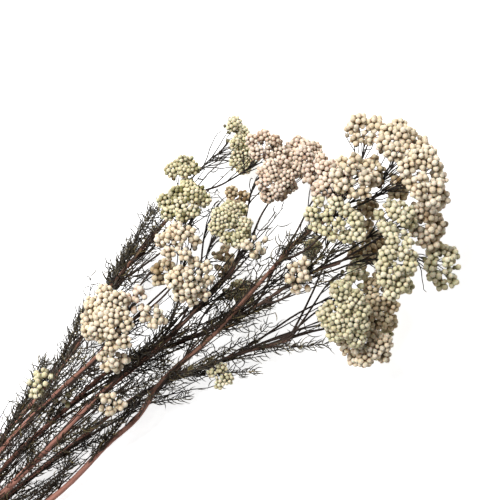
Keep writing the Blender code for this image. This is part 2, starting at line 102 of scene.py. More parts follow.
# %% [markdown]
# Six stems carry the whole bunch. Each has a radius at its cut end and at its tip, and a route of
# given points, the same ones that the CAD model has, so that the finer wood lies in it.
# %% Stems
Stem = namedtuple("Stem", "butt tip route")
STEMS = {
    "stem_1": Stem(1.8, 0.9, [
        (8, -9.05, 2.1), (20, -9.05, 2.1), (60, 5, 5.5), (110, 21, 12), (150, 30, 17), (180, 40, 22),
        (207, 52, 26), (254, 65, 32), (285, 71, 34),
    ]),
    "stem_2": Stem(2.2, 0.9, [
        (0, -9.95, 6.4), (20, -9.95, 6.4), (60, 1, 15), (106, 15, 29), (147, 21, 38),
        (186, 25, 47), (215, 32, 53),
    ]),
    "stem_3": Stem(2.7, 1.0, [
        (5, -15.2, 6.75), (20, -15.2, 6.75), (50, -13, 11), (89, -8, 18), (132, -2, 26),
        (170, 5, 33), (223, 9, 40), (277, 18, 44), (290, 24, 45),
    ]),
    "stem_4": Stem(2.3, 1.1, [
        (2, -22, 1.9), (20, -22, 1.9), (60, -28, 2.6), (112, -29.5, 8), (154, -23, 16),
        (180, -20, 22), (204, -10.5, 29), (219, -8, 33), (250, -5, 42), (290, 3, 51), (325, 11, 56),
        (345, 11, 58),
    ]),
    "stem_5": Stem(1.9, 0.9, [
        (10, -13.1, 2.1), (20, -13.1, 2.1), (50, -8, 5), (98, 4, 13), (145, 10, 19),
        (188, 14, 26), (230, 2, 28), (271, -6, 40), (313, -8, 52), (335, -14, 58),
    ]),
    "stem_6": Stem(2.0, 0.9, [
        (6, -17.35, 2.2), (20, -17.35, 2.2), (50, -16, 4), (95, -12, 8), (168, -9, 11),
        (201, -12, 13), (226, -18, 16), (256, -25, 20), (285, -36, 24),
    ]),
}
print("stems:", len(STEMS))

# %% [markdown]
# Each flower head is a small dome of buds on a branch that leaves its stem at fork. place is the
# middle of its rim, facing the bearing and height of its crown, lie the bearing of its long side,
# size its long and short side, and rise its crown's height over the rim. clusters is how many balls
# of buds it has, one for each large bud of the CAD model. bud is its buds' radius, smaller where
# they were cut young, and dry how far they have browned.
# %% Flower heads
BUD_RADIUS = 1.85
DRYNESS = 0.35
Head = namedtuple("Head", "stem fork place facing lie size rise clusters tone bud dry",
                  defaults=(BUD_RADIUS, DRYNESS))
# The tan heads are darker partly by a browner tone of their own and partly as painted shade, for heads in
# the shade of others.
ROWS = (
    (1, 105, (146, 33, 26), (104, 40), 14, (24, 13), 3, 8, "green"),
    (2, 130, (205.5, 39, 66), (114, 65), 79, (36, 27), 6.5, 16, "cream", 1.75),
    (2, 150, (194, 18, 62), (-96, 70), 1, (17, 12), 3, 6, "cream"),
    (2, 180, (226.5, 38, 62), (0, 80), 0, (12, 11), 2.5, 5, "pink"),
    (2, 180, (228, 25, 66), (-60, 75), 20, (13, 11), 2.5, 5, "cream"),
    (2, 212, (267, 52, 74), (84, 65), -36, (23, 19), 5, 8, "cream", 1.75),
    (2, 205, (259.5, 28, 69), (-96, 75), 84, (25, 22), 5, 10, "cream", 1.8),
    (2, 192, (248, 42, 53), (-90, 60), 0, (15, 12), 3, 5, "tan", BUD_RADIUS, 0.9),
    (1, 215, (283, 70, 50), (74, 50), -16, (28, 26), 6, 12, "green", 1.4, 1.0),
    (1, 230, (294, 87.5, 41.5), (64, 45), -26, (18, 14), 3.5, 6, "green", 1.35, 0.8),
    (3, 232, (298, 41, 60), (-6, 60), -36, (23, 21), 5, 10, "green", 1.3, 0.8),
    (3, 245, (308, 53, 28), (-6, 10), -66, (18, 11), 4, 6, "tan", 1.4, 0.9),
    (3, 258, (301, 22, 66), (-36, 60), -56, (14, 12), 3, 5, "cream"),
    (3, 215, (281, 27, 26), (-30, 30), 54, (17, 12), 4, 6, "tan", BUD_RADIUS, 0.9),
    (6, 205, (277, 6, 20), (-20, 30), -36, (23, 13), 4, 7, "green", 1.5, 0.9),
    (5, 258, (311, -7, 68), (-36, 50), 64, (18, 13), 4, 7, "cream"),
    (1, 265, (329, 78, 9.5), (-26, 25), 62, (40, 17), 5, 15, "green", 1.3),
    (1, 282, (342, 68.5, 41), (24, 40), -36, (21, 19), 4.5, 8, "pink", 1.35, 0.55),
    (3, 275, (333.5, 48, 56), (-56, 60), -36, (26, 22), 5, 11, "pink", 1.4, 0.5),
    (3, 288, (357, 48.5, 29.5), (14, 45), -96, (28, 24), 6, 11, "pink", 1.45, 0.55),
    (4, 300, (358.5, 31, 60), (24, 60), -36, (27, 24), 5, 11, "pink", 1.6, 0.5),
    (4, 325, (395, 40.5, 48), (54, 50), -36, (22, 19), 6, 8, "cream"),
    (4, 338, (408, 19, 61), (24, 45), -56, (31, 27), 6, 13, "cream"),
    (4, 343, (404, -3, 79), (-16, 60), -81, (31, 27), 6, 12, "cream"),
    (5, 333, (392, -27, 53.5), (-36, 45), 59, (29, 23), 5, 11, "cream", BUD_RADIUS, 0.7),
    (5, 322, (384.5, -53, 43), (-56, 60), -96, (25, 21), 5, 10, "green"),
    (4, 310, (370, 22, 80), (0, 70), -56, (26, 23), 5, 10, "cream"),
    (5, 285, (346, 8, 80), (-150, 72), -71, (36, 19), 4.5, 12, "green", 1.6),
    (5, 318, (377, -12.5, 68), (0, 75), -66, (25, 18), 4.5, 10, "green", 1.75),
    (5, 298, (361, -35, 76), (-56, 60), 64, (34, 23), 5, 13, "green", 1.7),
    (6, 280, (357, -19, 28), (-60, 40), -36, (25, 21), 4.5, 9, "tan", 1.65, 1.0),
    (6, 250, (319, -41, 56), (-136, 60), 54, (35, 26), 5, 13, "green", 1.6),
    (6, 240, (318, -65.5, 37), (-126, 60), -36, (29, 23), 5, 11, "cream", 1.7),
    # head_34's low dry value makes its buds paler: painted light on a head that lies in the shade of the
    # heads above it.
    (6, 270, (342, -50, 30), (-66, 50), 74, (36, 26), 6, 14, "tan", 1.65, 0.2),
    (6, 283, (340, -26, 47), (-36, 40), 54, (16, 13), 3, 6, "green"),
    (6, 222, (326, -73, 10.1), (-96, 40), 64, (23, 13), 4, 8, "green", 1.5),
    (6, 190, (237.5, -28, 36), (-90, 65), -36, (12, 10), 3, 4, "green", 1.3),
    (3, 140, (175, -2.5, 45), (-80, 60), -30, (14, 11), 2.5, 5, "cream"),
    (5, 275, (329, 3, 44), (-60, 50), 54, (13, 10), 2.5, 4, "green", 1.5),
    (4, 330, (384, 18, 54), (-20, 45), 60, (16, 13), 3, 6, "tan", BUD_RADIUS, 1.0),
    (4, 336, (390, 1, 58), (-30, 50), 50, (17, 13), 3, 6, "tan", BUD_RADIUS, 0.9),
    (5, 125, (151, 16, 31), (-60, 60), 0, (9, 8), 2, 3, "green"),
    (5, 300, (366, -1, 40), (-60, 40), 50, (19, 14), 3.5, 7, "tan", BUD_RADIUS, 1.0),
)
HEADS = {f"head_{i + 1:02d}": Head(f"stem_{row[0]}", *row[1:]) for i, row in enumerate(ROWS)}
print("flower heads:", len(HEADS))

# %% [markdown]
# Leafy side shoots: how far along its stem each one leaves, and the place of its tip. These are
# the ones that stand out, and the CAD model has them too.
# %% Leafy shoots
SHOOTS = {
    "stem_1": [
        (100, (152, 42, 9)), (138, (193, 54, 16)), (178, (238, 68, 20)), (205, (263, 78, 25)),
    ],
    "stem_2": [(70, (128, 26, 34)), (120, (176, 36, 50)), (150, (213, 12, 56))],
    "stem_3": [
        (60, (118, -2, 24)), (110, (165, -8, 36)), (150, (207, -6, 46)), (190, (246, 22, 50)),
        (235, (287, 8, 56)),
    ],
    "stem_4": [
        (80, (128, -19, 7)), (125, (178, -12, 26)), (195, (242, -18, 42)), (240, (289, -10, 44)),
        (300, (337, 14, 68)),
    ],
    "stem_5": [
        (70, (122, 12, 8)), (120, (166, 20, 24)), (165, (214, -4, 32)), (240, (289, 4, 34)),
        (290, (334, -4, 66)),
    ],
    "stem_6": [
        (60, (108, -24, 4)), (110, (160, -20, 6)), (160, (212, -28, 10)), (205, (256, -40, 16)),
        (245, (302, -52, 20)),
    ],
}
print("leafy shoots:", sum(len(shoots) for shoots in SHOOTS.values()))

# %% [markdown]
# Directions come first. A bearing and a height give a unit vector, as on a globe, and a direction
# with a guide gives the two ways square to it, which every round piece and every dome needs.
# %% Directions and curves


def unit(ways):
    """Vectors of length 1: each one divided by the root of its summed squares."""
    return ways / np.linalg.norm(ways, axis=-1, keepdims=True)


def bearing(azimuth, height):
    """Unit vector: (cos a cos h, sin a cos h, sin h) for azimuth a and height h in degrees."""
    turn, climb = np.radians((azimuth, height))
    return np.array((np.cos(turn) * np.cos(climb), np.sin(turn) * np.cos(climb), np.sin(climb)))


def square_to(way, guide):
    """Two unit vectors square to way: the guide less its part along way, and their cross product."""
    first = unit(guide - way * np.sum(guide * way, axis=-1, keepdims=True))
    return first, np.cross(way, first)


def curve(start, start_pull, end_pull, end, t):
    """Bezier curves: s³ start + 3 s² t pull + 3 s t² pull + t³ end, with s = 1 - t, for every t."""
    t = np.asarray(t)[:, None]
    s = 1 - t
    given = (start, start_pull, end_pull, end)
    start, start_pull, end_pull, end = (np.asarray(point)[..., None, :] for point in given)
    return s**3 * start + 3 * s**2 * t * start_pull + 3 * s * t**2 * end_pull + t**3 * end


def run_of(route):
    """Distance along a route at each of its points: the summed lengths of the steps before it."""
    steps = np.diff(route, axis=-2, prepend=route[..., :1, :])
    return np.cumsum(np.linalg.norm(steps, axis=-1), axis=-1)


def point_at(route, marks, along):
    """Points where a row of marks along the route reaches the given values, axis by axis."""
    return np.stack([np.interp(along, marks, route[:, axis]) for axis in range(3)], axis=-1)


def spiral(count, start):
    """Even spots in a circle of radius 1: as far out as the root of their share, by golden angle."""
    number = np.arange(count) + 0.5
    turn = number * GOLDEN_ANGLE + start
    return np.sqrt(number / count)[:, None] * np.column_stack((np.cos(turn), np.sin(turn)))


# %% [markdown]
# The clusters of a head's buds are spread over its dome on a golden-angle spiral, as florets grow,
# and near ones push each other apart. The numbers are the CAD model's, so they land on its buds.
# %% The frame of a flower head
BUD_FILL = 0.98
BUD_GROWTH = 1.4
BUD_SEAT = 0.75
BUD_ROUNDS = 80
BUD_PUSH = 0.25
BUD_SPACING = 1.8
CORE_MARGIN = 0.6
CORE_TIP = 0.5
CORE_EDGE = 0.9
CORE_ROD = 2.0
CORE_GUARDS = 14
CORE_RINGS = (0.4, 0.75, 1.0)


def pushed_apart(spots, distance, ideal, share):
    """Spots moved away from each one nearer than the ideal, by a share of what they lack."""
    distance = distance + np.eye(len(spots)) * FAR_OFF
    push = np.maximum(ideal - distance, 0) / distance
    return spots + share * np.sum((spots[:, None] - spots) * push[:, :, None], axis=1)


def spread_plan(count, half, reach, rise):
    """Even places on a dome: a golden-angle spiral whose near points push each other apart."""
    number = np.arange(count)
    out = np.sqrt((number + 0.5) / count)
    turn = number * GOLDEN_ANGLE
    spots = np.column_stack((out * np.cos(turn), out * np.sin(turn))) * reach
    ideal = BUD_SPACING * np.sqrt((half[0] * half[1] + rise * rise) / count)
    for _ in range(BUD_ROUNDS):
        height = -rise * np.sum((spots / reach) ** 2, axis=1)
        apart = spots[:, None] - spots
        climb = height[:, None] - height
        distance = np.sqrt(np.sum(apart * apart, axis=2) + climb * climb)
        spots = pushed_apart(spots, distance, ideal, BUD_PUSH)
        edge = np.linalg.norm(spots / reach, axis=1)
        spots /= np.maximum(edge, 1)[:, None]
    return spots


class Crown:
    """A head's own frame, with its long and short way and its crown direction, and its clusters."""

    def __init__(self, head):
        self.place = np.array(head.place, float)
        self.facing = bearing(*head.facing)
        self.ways = np.array(square_to(self.facing, bearing(head.lie, 0)))
        self.rise = head.rise
        self.half = np.array(head.size) / 2
        count = head.clusters
        radius = BUD_FILL * np.sqrt(self.half[0] * self.half[1]) / (np.sqrt(count) + BUD_FILL)
        self.reach = self.half - radius
        self.spots = spread_plan(count, self.half, self.reach, head.rise)
        self.cluster_radius = radius
        apart = np.linalg.norm(self.middles()[:, None] - self.middles(), axis=2)
        nearest = (apart + np.eye(count) * FAR_OFF).min()
        self.cluster_radius = min(BUD_GROWTH * radius, nearest / 2)
        margin = CORE_MARGIN * self.cluster_radius
        steepest = 2 * self.rise / self.reach.min()
        self.floor = -BUD_SEAT * self.cluster_radius - CORE_TIP * steepest * margin - CORE_EDGE

    def at(self, spots):
        """World places of spots (x, y, height) in the head's own frame."""
        spots = np.asarray(spots, float)
        return self.place + spots[..., :2] @ self.ways + spots[..., 2:] * self.facing

    def dome(self, plan):
        """The dome's height over the rim: rise times 1 less the squared distance in plan."""
        return self.rise * (1 - np.sum(plan * plan, axis=1))

    def middles(self):
        """World places of the clusters' middles, over the dome by BUD_SEAT of their radius."""
        plan = self.spots / self.reach
        height = self.dome(plan) - BUD_SEAT * self.cluster_radius
        tip = np.column_stack((CORE_TIP * 2 * self.rise * plan / self.reach, np.ones(len(plan))))
        skin = np.column_stack((self.spots, height))
        return self.at(skin + unit(tip) * BUD_SEAT * self.cluster_radius)

    def core_middles(self):
        """World places under the dome that stand for it when branches of other heads keep clear."""
        turns = np.arange(CORE_GUARDS) * TURN / CORE_GUARDS
        around = np.column_stack((np.cos(turns), np.sin(turns)))
        spots = np.vstack([(0, 0), *(around * share for share in CORE_RINGS)]) * self.reach
        return self.at(np.column_stack((spots, np.full(len(spots), self.floor + CORE_ROD))))


crowns = {name: Crown(head) for name, head in HEADS.items()}
print("clusters:", sum(len(crown.spots) for crown in crowns.values()))

# %% [markdown]
# Branches of a real bunch find their way past each other. Every piece placed so far is kept as a
# row of round rods with an owner, and a new branch measures the air between itself and the rest.
# %% Air between the pieces


class Crowd:
    """Every piece placed so far, as round rods with an owner, to keep a new piece clear of them."""

    def __init__(self):
        self.rods = []
        self.owners = []

    def add(self, owner, points, radii):
        points = np.atleast_2d(points)
        radii = np.broadcast_to(radii, len(points))
        ends = np.minimum(np.arange(1, max(len(points), 2)), len(points) - 1)
        for i, j in enumerate(ends):
            self.rods.append((*points[i], *points[j], max(radii[i], radii[j])))
            self.owners.append(owner)

    def air(self, own, points, radii):
        """Least clear air between a polyline and the table or any rod of an owner not in own."""
        radii = np.broadcast_to(radii, len(points))
        spots, rims = [points[:1]], [radii[:1]]
        for i in range(len(points) - 1):
            count = max(int(np.linalg.norm(points[i + 1] - points[i])), 1)
            t = np.linspace(0, 1, count + 1)[1:]
            spots.append(points[i] + t[:, None] * (points[i + 1] - points[i]))
            rims.append(radii[i] + t * (radii[i + 1] - radii[i]))
        spots = np.concatenate(spots)
        rims = np.concatenate(rims)
        rods = np.array(self.rods)[[owner not in own for owner in self.owners]]
        start, span = rods[:, :3], rods[:, 3:6] - rods[:, :3]
        length = np.maximum(np.sum(span * span, axis=1), 1e-9)
        offset = spots[:, None, :] - start
        t = np.clip(np.sum(offset * span, axis=2) / length, 0, 1)
        away = np.linalg.norm(offset - t[:, :, None] * span, axis=2) - rods[:, 6] - rims[:, None]
        return min(np.min(spots[:, 2] - rims), away.min())


# %% [markdown]
# A branch leaves its stem at a fork, bends into the way that its head faces and ends under it. It
# takes the first fork, fan and bend that clear every other piece, in the CAD model's order, so both
# lie alike. The curve's four control points are kept, to draw the finer branch from.
# %% Ways for the branches and the shoots
SEAT_GAP = 0.3
Way = namedtuple("Way", "steps radii leaving arriving")
BRANCH = Way(4, (1.2, 0.8), 0.2, 0.3)
SHOOT = Way(2, (0.9, 0.6), 0.4, 0.3)
TWIG_RADIUS = 0.6
FAN_REACH = 0.5
FAN_SHARES = (0.45, 0.33, 0.22)
LARGE_HEAD = 27.0
SLIPS = (0, -12, -24)
BENDS = (0, 4, 8, 13, 19)
BEND_WAYS = 8
SHOOT_SHARES = (1.0, 0.85, 0.7)


def bends(way):
    """Side steps to try, smallest first, all round a chord that runs this way."""
    side, lift = square_to(unit(way), UP + 0.01)
    for size in BENDS:
        for turn in np.arange(BEND_WAYS if size else 1) * TURN / BEND_WAYS:
            yield size * (np.cos(turn) * side + np.sin(turn) * lift)


class Bunch:
    """Works out where every branch and shoot goes, each clear of the other nodes."""

    def __init__(self):
        self.crowd = Crowd()
        self.shoots = {name: [] for name in STEMS}
        for name, stem in STEMS.items():
            route = np.array(stem.route, float)
            self.crowd.add(name, route, np.linspace(stem.butt, stem.tip, len(route)))
        for name, crown in crowns.items():
            for middle in crown.middles():
                self.crowd.add(name, middle, crown.cluster_radius)
        for name, crown in crowns.items():
            for middle in crown.core_middles():
                self.crowd.add(name + " core", middle, CORE_ROD)
        self.branches = {name: self.clear_branch(name) for name in HEADS}
        for name in STEMS:
            for along, tip in SHOOTS[name]:
                self.shoots[name].append(self.clear_shoot(name, along, np.array(tip, float)))

    def fork(self, name, along):
        """Point of a stem's middle line at a distance along, and the stem's direction there."""
        route = np.array(STEMS[name].route, float)
        along = min(max(along, route[0, 0]), route[-1, 0])
        link = min(max(np.searchsorted(route[:, 0], along), 1), len(route) - 1)
        return point_at(route, route[:, 0], along), unit(route[link] - route[link - 1])

    def fan(self, head, crown, share):
        """The end under the head, the hub before it, and the ends of two side stalks if it is large."""
        seat = crown.floor - SEAT_GAP
        end = crown.at((0, 0, seat))
        hub = end - crown.facing * share * head.size[1]
        if head.size[0] < LARGE_HEAD:
            return hub, end, []
        sides = []
        for side in (-FAN_REACH, FAN_REACH):
            spot = crown.at((side * crown.reach[0], 0, seat))
            slant = np.linalg.norm(np.cross(unit(spot - hub), crown.facing))
            sides.append(spot - crown.facing * TWIG_RADIUS * slant)
        return hub, end, sides

    def clear_way(self, kind, owner, own, fork, hub, facing, seat=np.empty((0, 3))):
        """Control points of the first curve that is clear from a fork to a hub and on to a seat."""
        start, way = fork
        reach = np.linalg.norm(hub - start)
        for bend in bends(np.vstack((hub, seat))[-1] - start):
            pulls = (start + way * kind.leaving * reach + bend,
                     hub - facing * kind.arriving * reach + bend)
            route = curve(start, *pulls, hub, np.linspace(0, 1, kind.steps + 1))
            route = np.vstack((route, seat))
            radii = np.linspace(*kind.radii, len(route))
            if self.crowd.air(own, route[1:], radii[1:]) >= SEAT_GAP:
                self.crowd.add(owner, route, radii)
                return np.array((start, *pulls, hub))
        return None

    def clear_branch(self, name):
        """Control points of the first branch that clears every other node."""
        head, crown = HEADS[name], crowns[name]
        own = {head.stem, name + " core"}
        for share in FAN_SHARES:
            hub, end, sides = self.fan(head, crown, share)
            airs = [self.crowd.air(own, np.array([hub, side]), TWIG_RADIUS) for side in sides]
            if airs and min(airs) < SEAT_GAP:
                continue
            for slip in SLIPS:
                fork = self.fork(head.stem, head.fork + slip)
                found = self.clear_way(BRANCH, head.stem, own, fork, hub, crown.facing, end)
                if found is not None:
                    for side in sides:
                        self.crowd.add(head.stem, np.array([hub, side]), TWIG_RADIUS)
                    return found
        raise ValueError(f"the branch of {name} finds no clear way")

    def clear_shoot(self, name, along, tip):
        """Control points of a leafy shoot, cut back until it clears every other node."""
        fork = self.fork(name, along)
        for share in SHOOT_SHARES:
            end = fork[0] + share * (tip - fork[0])
            found = self.clear_way(SHOOT, name, {name}, fork, end, unit(end - fork[0]))
            if found is not None:
                return found
        raise ValueError(f"the shoot at {along} of {name} finds no clear way")


bunch = Bunch()
print("branches:", len(bunch.branches))

# %% [markdown]
# Bark, leaves and stalks are all thin rods: a round profile carried along many paths at once. The
# ways square to a path start from the axis that the path runs least along. Bark follows the wood,
# so each corner keeps a grain of its own, (radius cos a, radius sin a, distance along), in mm.
# %% Rods: a round profile carried along paths
NEXT_ROD = 37.0
SIDE_AGES = (0.05, 0.4)
STALK_AGES = (0.45, 0.5)
SHOOT_AGES = (0.6, 0.4)
Shape = namedtuple("Shape", "corners faces marks")


def square_ways(paths):
    """At each step of many paths: the way ahead, and two ways square to it and to each other."""
    ahead = unit(np.gradient(paths, axis=1))
    guide = np.eye(3)[np.argmin(np.abs(ahead).max(axis=1), axis=1)][:, None]
    return (ahead, *square_to(ahead, guide))


def ageing(paths, ages):
    """The mark age along many paths: its start, and how much it grows to the end."""
    start, growth = ages
    return np.broadcast_to(start + growth * np.linspace(0, 1, paths.shape[1]), paths.shape[:2])


def ring_faces(count, steps, sides):
    """Faces of rods made of rings: quads from each ring to the next, and a flat face at both ends."""
    index = np.arange(count * steps * sides).reshape(count, steps, sides)
    near, far = index[:, :-1], index[:, 1:]
    quads = np.stack((near, np.roll(near, -1, 2), np.roll(far, -1, 2), far), axis=-1).reshape(-1, 4)
    return quads, np.concatenate((index[:, 0, ::-1], index[:, -1]))


def tubes(paths, radii, sides, **marks):
    """A round profile carried along many paths: each ring is the path's point plus radius times
    (cos a times side plus sin a times lift), with a round the ring and both ways square to it."""
    count, steps, _ = paths.shape
    radii = np.broadcast_to(radii, (count, steps))[:, :, None]
    _, side, lift = square_ways(paths)
    turn = np.arange(sides) * TURN / sides
    across, up = np.cos(turn) * radii, np.sin(turn) * radii
    corners = across[..., None] * side[:, :, None] + up[..., None] * lift[:, :, None]
    corners = corners + paths[:, :, None]
    run = run_of(paths) + np.arange(count)[:, None] * NEXT_ROD
    grain = np.stack((across, up, np.broadcast_to(run[:, :, None], across.shape)), axis=-1)
    spread = {name: np.broadcast_to(value[..., None], across.shape).ravel()
              for name, value in marks.items()}
    marks = {"grain": grain.reshape(-1, 3), **spread}
    return Shape(corners.reshape(-1, 3), ring_faces(count, steps, sides), marks)


# %% [markdown]
# A piece is one mesh made from many such shapes, written as whole arrays, which is quick. It rides
# on the only body, takes its material, and hides the CAD part that it stands for.
# %% From shapes to a piece
SHARP = np.radians(55)
tally = {}


def add_piece(name, shapes, material, node):
    """One mesh object with its place in its corners and its marks as attributes: the corners and
    marks of all its shapes end to end, and their faces counted on from the corners before."""
    starts = np.cumsum([0] + [len(shape.corners) for shape in shapes])
    faces = [block + start for shape, start in zip(shapes, starts) for block in shape.faces]
    sizes = np.concatenate([np.full(len(block), block.shape[1]) for block in faces])
    corners = np.concatenate([shape.corners for shape in shapes])
    corners[:, 2] = np.maximum(corners[:, 2], 0)
    mesh = bpy.data.meshes.new(name)
    mesh.vertices.add(len(corners))
    mesh.vertices.foreach_set("co", to_frame(corners).ravel())
    mesh.loops.add(int(sizes.sum()))
    mesh.loops.foreach_set("vertex_index", np.concatenate([block.ravel() for block in faces]))
    mesh.polygons.add(len(sizes))
    mesh.polygons.foreach_set("loop_start", np.cumsum(sizes) - sizes)
    mesh.update(calc_edges=True)
    for label in shapes[0].marks:
        values = np.concatenate([shape.marks[label] for shape in shapes])
        kind, field = {1: ("FLOAT", "value"), 2: ("FLOAT_VECTOR", "vector")}[values.ndim]
        mesh.attributes.new(label, kind, "POINT").data.foreach_set(field, values.ravel())
    mesh.shade_smooth()
    mesh.set_sharp_from_angle(angle=SHARP)
    mesh.materials.append(material)
    piece = put(name, mesh)
    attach(piece, "root")
    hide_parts(node)
    tally[name] = int(np.sum(sizes - 2))


# %% [markdown]
# Materials are small node trees. One function adds a node with its settings and links, one turns
# a hex colour into linear light, and the others add what the finishes share.
# %% Helpers for the finishes


def linear(code):
    """Linear RGBA of an sRGB hex colour: each channel c over 0.04045 is ((c + 0.055) / 1.055)^2.4."""
    value = np.array([int(code[i:i + 2], 16) for i in (1, 3, 5)]) / 255
    value = np.where(value > 0.04045, ((value + 0.055) / 1.055) ** 2.4, value / 12.92)
    return (*value, 1.0)


def node(material, kind, settings=None, **links):
    """Adds a node, applies its settings, and sets or links each named input."""
    made = material.node_tree.nodes.new("ShaderNode" + kind)
    for key, value in (settings or {}).items():
        setattr(made, key, value)
    for key, value in links.items():
        by_place = key[0] == "i" and key[1:].isdigit()
        socket = made.inputs[int(key[1:]) if by_place else key.replace("_", " ")]
        if isinstance(value, bpy.types.NodeSocket):
            material.node_tree.links.new(value, socket)
        else:
            socket.default_value = value
    return made


def mark(material, name, output="Fac"):
    """What a mark says at each point."""
    return node(material, "Attribute", {"attribute_name": name}).outputs[output]


def noise(material, **inputs):
    """A soft random value round 0.5."""
    return node(material, "TexNoise", **inputs).outputs["Fac"]


def mix(material, factor, first, second, blend="MIX"):
    """From the first colour to the second one by a factor."""
    settings = {"data_type": "RGBA", "blend_type": blend}
    return node(material, "Mix", settings, i0=factor, i6=first, i7=second).outputs[2]


def shifted(material, value, by, amount):
    """A value plus amount times (by - 0.5), kept from 0 to 1."""
    shift = node(material, "Math", {"operation": "MULTIPLY_ADD"}, i0=by, i1=amount, i2=-amount / 2)
    settings = {"operation": "ADD", "use_clamp": True}
    return node(material, "Math", settings, i0=value, i1=shift.outputs[0]).outputs[0]


def ramp(material, factor, *stops):
    """A colour ramp through (place, hex colour) stops, fed by a factor."""
    made = node(material, "ValToRGB", i0=factor)
    elements = made.color_ramp.elements
    while len(elements) < len(stops):
        elements.new(0.5)
    for element, (place, code) in zip(elements, stops):
        element.position = place
        element.color = linear(code)
    return made.outputs["Color"]


def new_material(name, **values):
    """A material with one Principled shader, whose even values sit on its own sockets."""
    material = bpy.data.materials.new(name)
    material.use_nodes = True
    shader = material.node_tree.nodes["Principled BSDF"]
    for key, value in values.items():
        shader.inputs[key.replace("_", " ")].default_value = value
    return material, shader


def feed(material, shader, colour, relief=None, strength=0.0):
    """Links a colour to the shader, and a relief as a bump RELIEF_DEPTH deep."""
    links = material.node_tree.links
    links.new(colour, shader.inputs["Base Color"])
    if relief is not None:
        bump = node(material, "Bump", Height=relief, Strength=strength, Distance=RELIEF_DEPTH)
        links.new(bump.outputs["Normal"], shader.inputs["Normal"])
    return material


# %% [markdown]
# The bark is dry and fibrous: red-brown at the cut ends (age 0) and nearly black in the finest
# twigs (age 1). Its fibres run along the wood, so its noise is stretched along the grain. Needle
# leaves are a dark olive, nearly black, and a few are brown: tint goes from 0 to 1. The stalks are
# dark brown where they leave the branch (age 0) and straw coloured just under the buds (age 1).
# %% Bark, needle leaves and stalks
FIBRE_WIDTH = 0.45
FIBRE_LENGTH = 10.0
RELIEF_DEPTH = 0.15 * MM


def make_bark():
    """Brown bark: a colour by age, streaked and raised by a noise stretched along the grain."""
    material, shader = new_material("dry_fibrous_bark", Roughness=0.72, Specular_IOR_Level=0.3)
    grain = mark(material, "grain", "Vector")
    scale = (1 / FIBRE_WIDTH, 1 / FIBRE_WIDTH, 1 / FIBRE_LENGTH)
    along = node(material, "Mapping", Vector=grain, Scale=scale).outputs["Vector"]
    fibres = noise(material, Vector=along, Scale=1.0, Detail=4.0, Roughness=0.6)
    patches = noise(material, Vector=grain, Scale=0.12, Detail=2.0)
    worn = shifted(material, mark(material, "age"), patches, 0.5)
    dark = ramp(material, worn, (0.0, "#764438"), (0.35, "#54342A"), (0.65, "#2B201A"), (1.0, "#15110D"))
    light = ramp(material, worn, (0.0, "#C49080"), (0.35, "#9A7460"), (0.65, "#54433A"), (1.0, "#2C241D"))
    return feed(material, shader, mix(material, fibres, dark, light), fibres, 0.6)


def make_thin_finish(name, dullness, guide, patch, detail, amount, *stops):
    """A colour by one of the marks, moved a little by a noise with this many patches a millimetre."""
    material, shader = new_material(name, Roughness=dullness, Specular_IOR_Level=0.35)
    patches = noise(material, Vector=mark(material, "grain", "Vector"), Scale=patch, Detail=detail)
    place = shifted(material, mark(material, guide), patches, amount)
    return feed(material, shader, ramp(material, place, *stops))


bark = make_bark()
leaf_finish = make_thin_finish(
    "dried_needle_leaf", 0.55, "tint", 1.0, 2.0, 0.4,
    (0.0, "#14110B"), (0.35, "#30291A"), (0.65, "#544A2F"), (0.85, "#7C7048"), (1.0, "#75502F"),
)
stalk_finish = make_thin_finish(
    "dry_flower_stalk", 0.6, "age", 0.15, 1.0, 0.6,
    (0.0, "#15100B"), (0.45, "#2B2016"), (0.75, "#54432A"), (1.0, "#7D6E42"),
)

# %% [markdown]
# A bud is a ball of dry papery scales with fine seams between them, dull, and browner towards its
# foot: partly its own brown base, partly painted shade on its lower sides.
# Marks give each bud its own colour: tone slides it from pale to the head's second colour, a third
# mark makes it darker and browner, partly its own browning and partly painted shade on the buds that
# sit inside and under a head, and rise is how high a point lies on its bud. All go from 0 to 1.
# %% Papery buds
SCALE_SIZE = 0.9
SEAM_WIDTH = 0.25
# This gradient darkens each bud's lower part: partly its own brown base, partly painted shade on its
# sides.
BROWN_FOOT_AND_PAINTED_SIDE_SHADE = {"From_Min": 0.05, "From_Max": 0.72, "To_Min": 0.92, "To_Max": 0.0}


def make_bud_finish(name, pale, second, foot, browning_and_shade_colour):
    """Papery bud: pale to second colour by tone, browner towards its foot, and darker with browning,
    both partly painted shade.
    """
    material, shader = new_material(
        name, Roughness=0.8, Specular_IOR_Level=0.25, Subsurface_Weight=0.12, Subsurface_Scale=0.6 * MM,
    )
    cells = node(material, "TexVoronoi", {"feature": "DISTANCE_TO_EDGE"},
                 Vector=mark(material, "scales", "Vector"), Scale=1 / SCALE_SIZE)
    edges = node(material, "MapRange", Value=cells.outputs["Distance"], From_Max=SEAM_WIDTH).outputs[0]
    # Browner towards the bud's foot, partly painted shade on its lower sides.
    low = node(material, "MapRange", {"interpolation_type": "SMOOTHSTEP"},
               Value=mark(material, "rise"), **BROWN_FOOT_AND_PAINTED_SIDE_SHADE).outputs[0]
    colour = mix(material, mark(material, "tone"), linear(pale), linear(second))
    colour = mix(material, low, colour, linear(foot))
    # Browned buds, and painted shade on the buds deep in the head, mix towards the darkest colour.
    colour = mix(material, mark(material, "browning_and_painted_shade"), colour, linear(browning_and_shade_colour))
    seams = ramp(material, edges, (0.0, "#B59A78"), (1.0, "#FFFFFF"))
    return feed(material, shader, mix(material, 0.35, colour, seams, "MULTIPLY"), edges, 0.35)


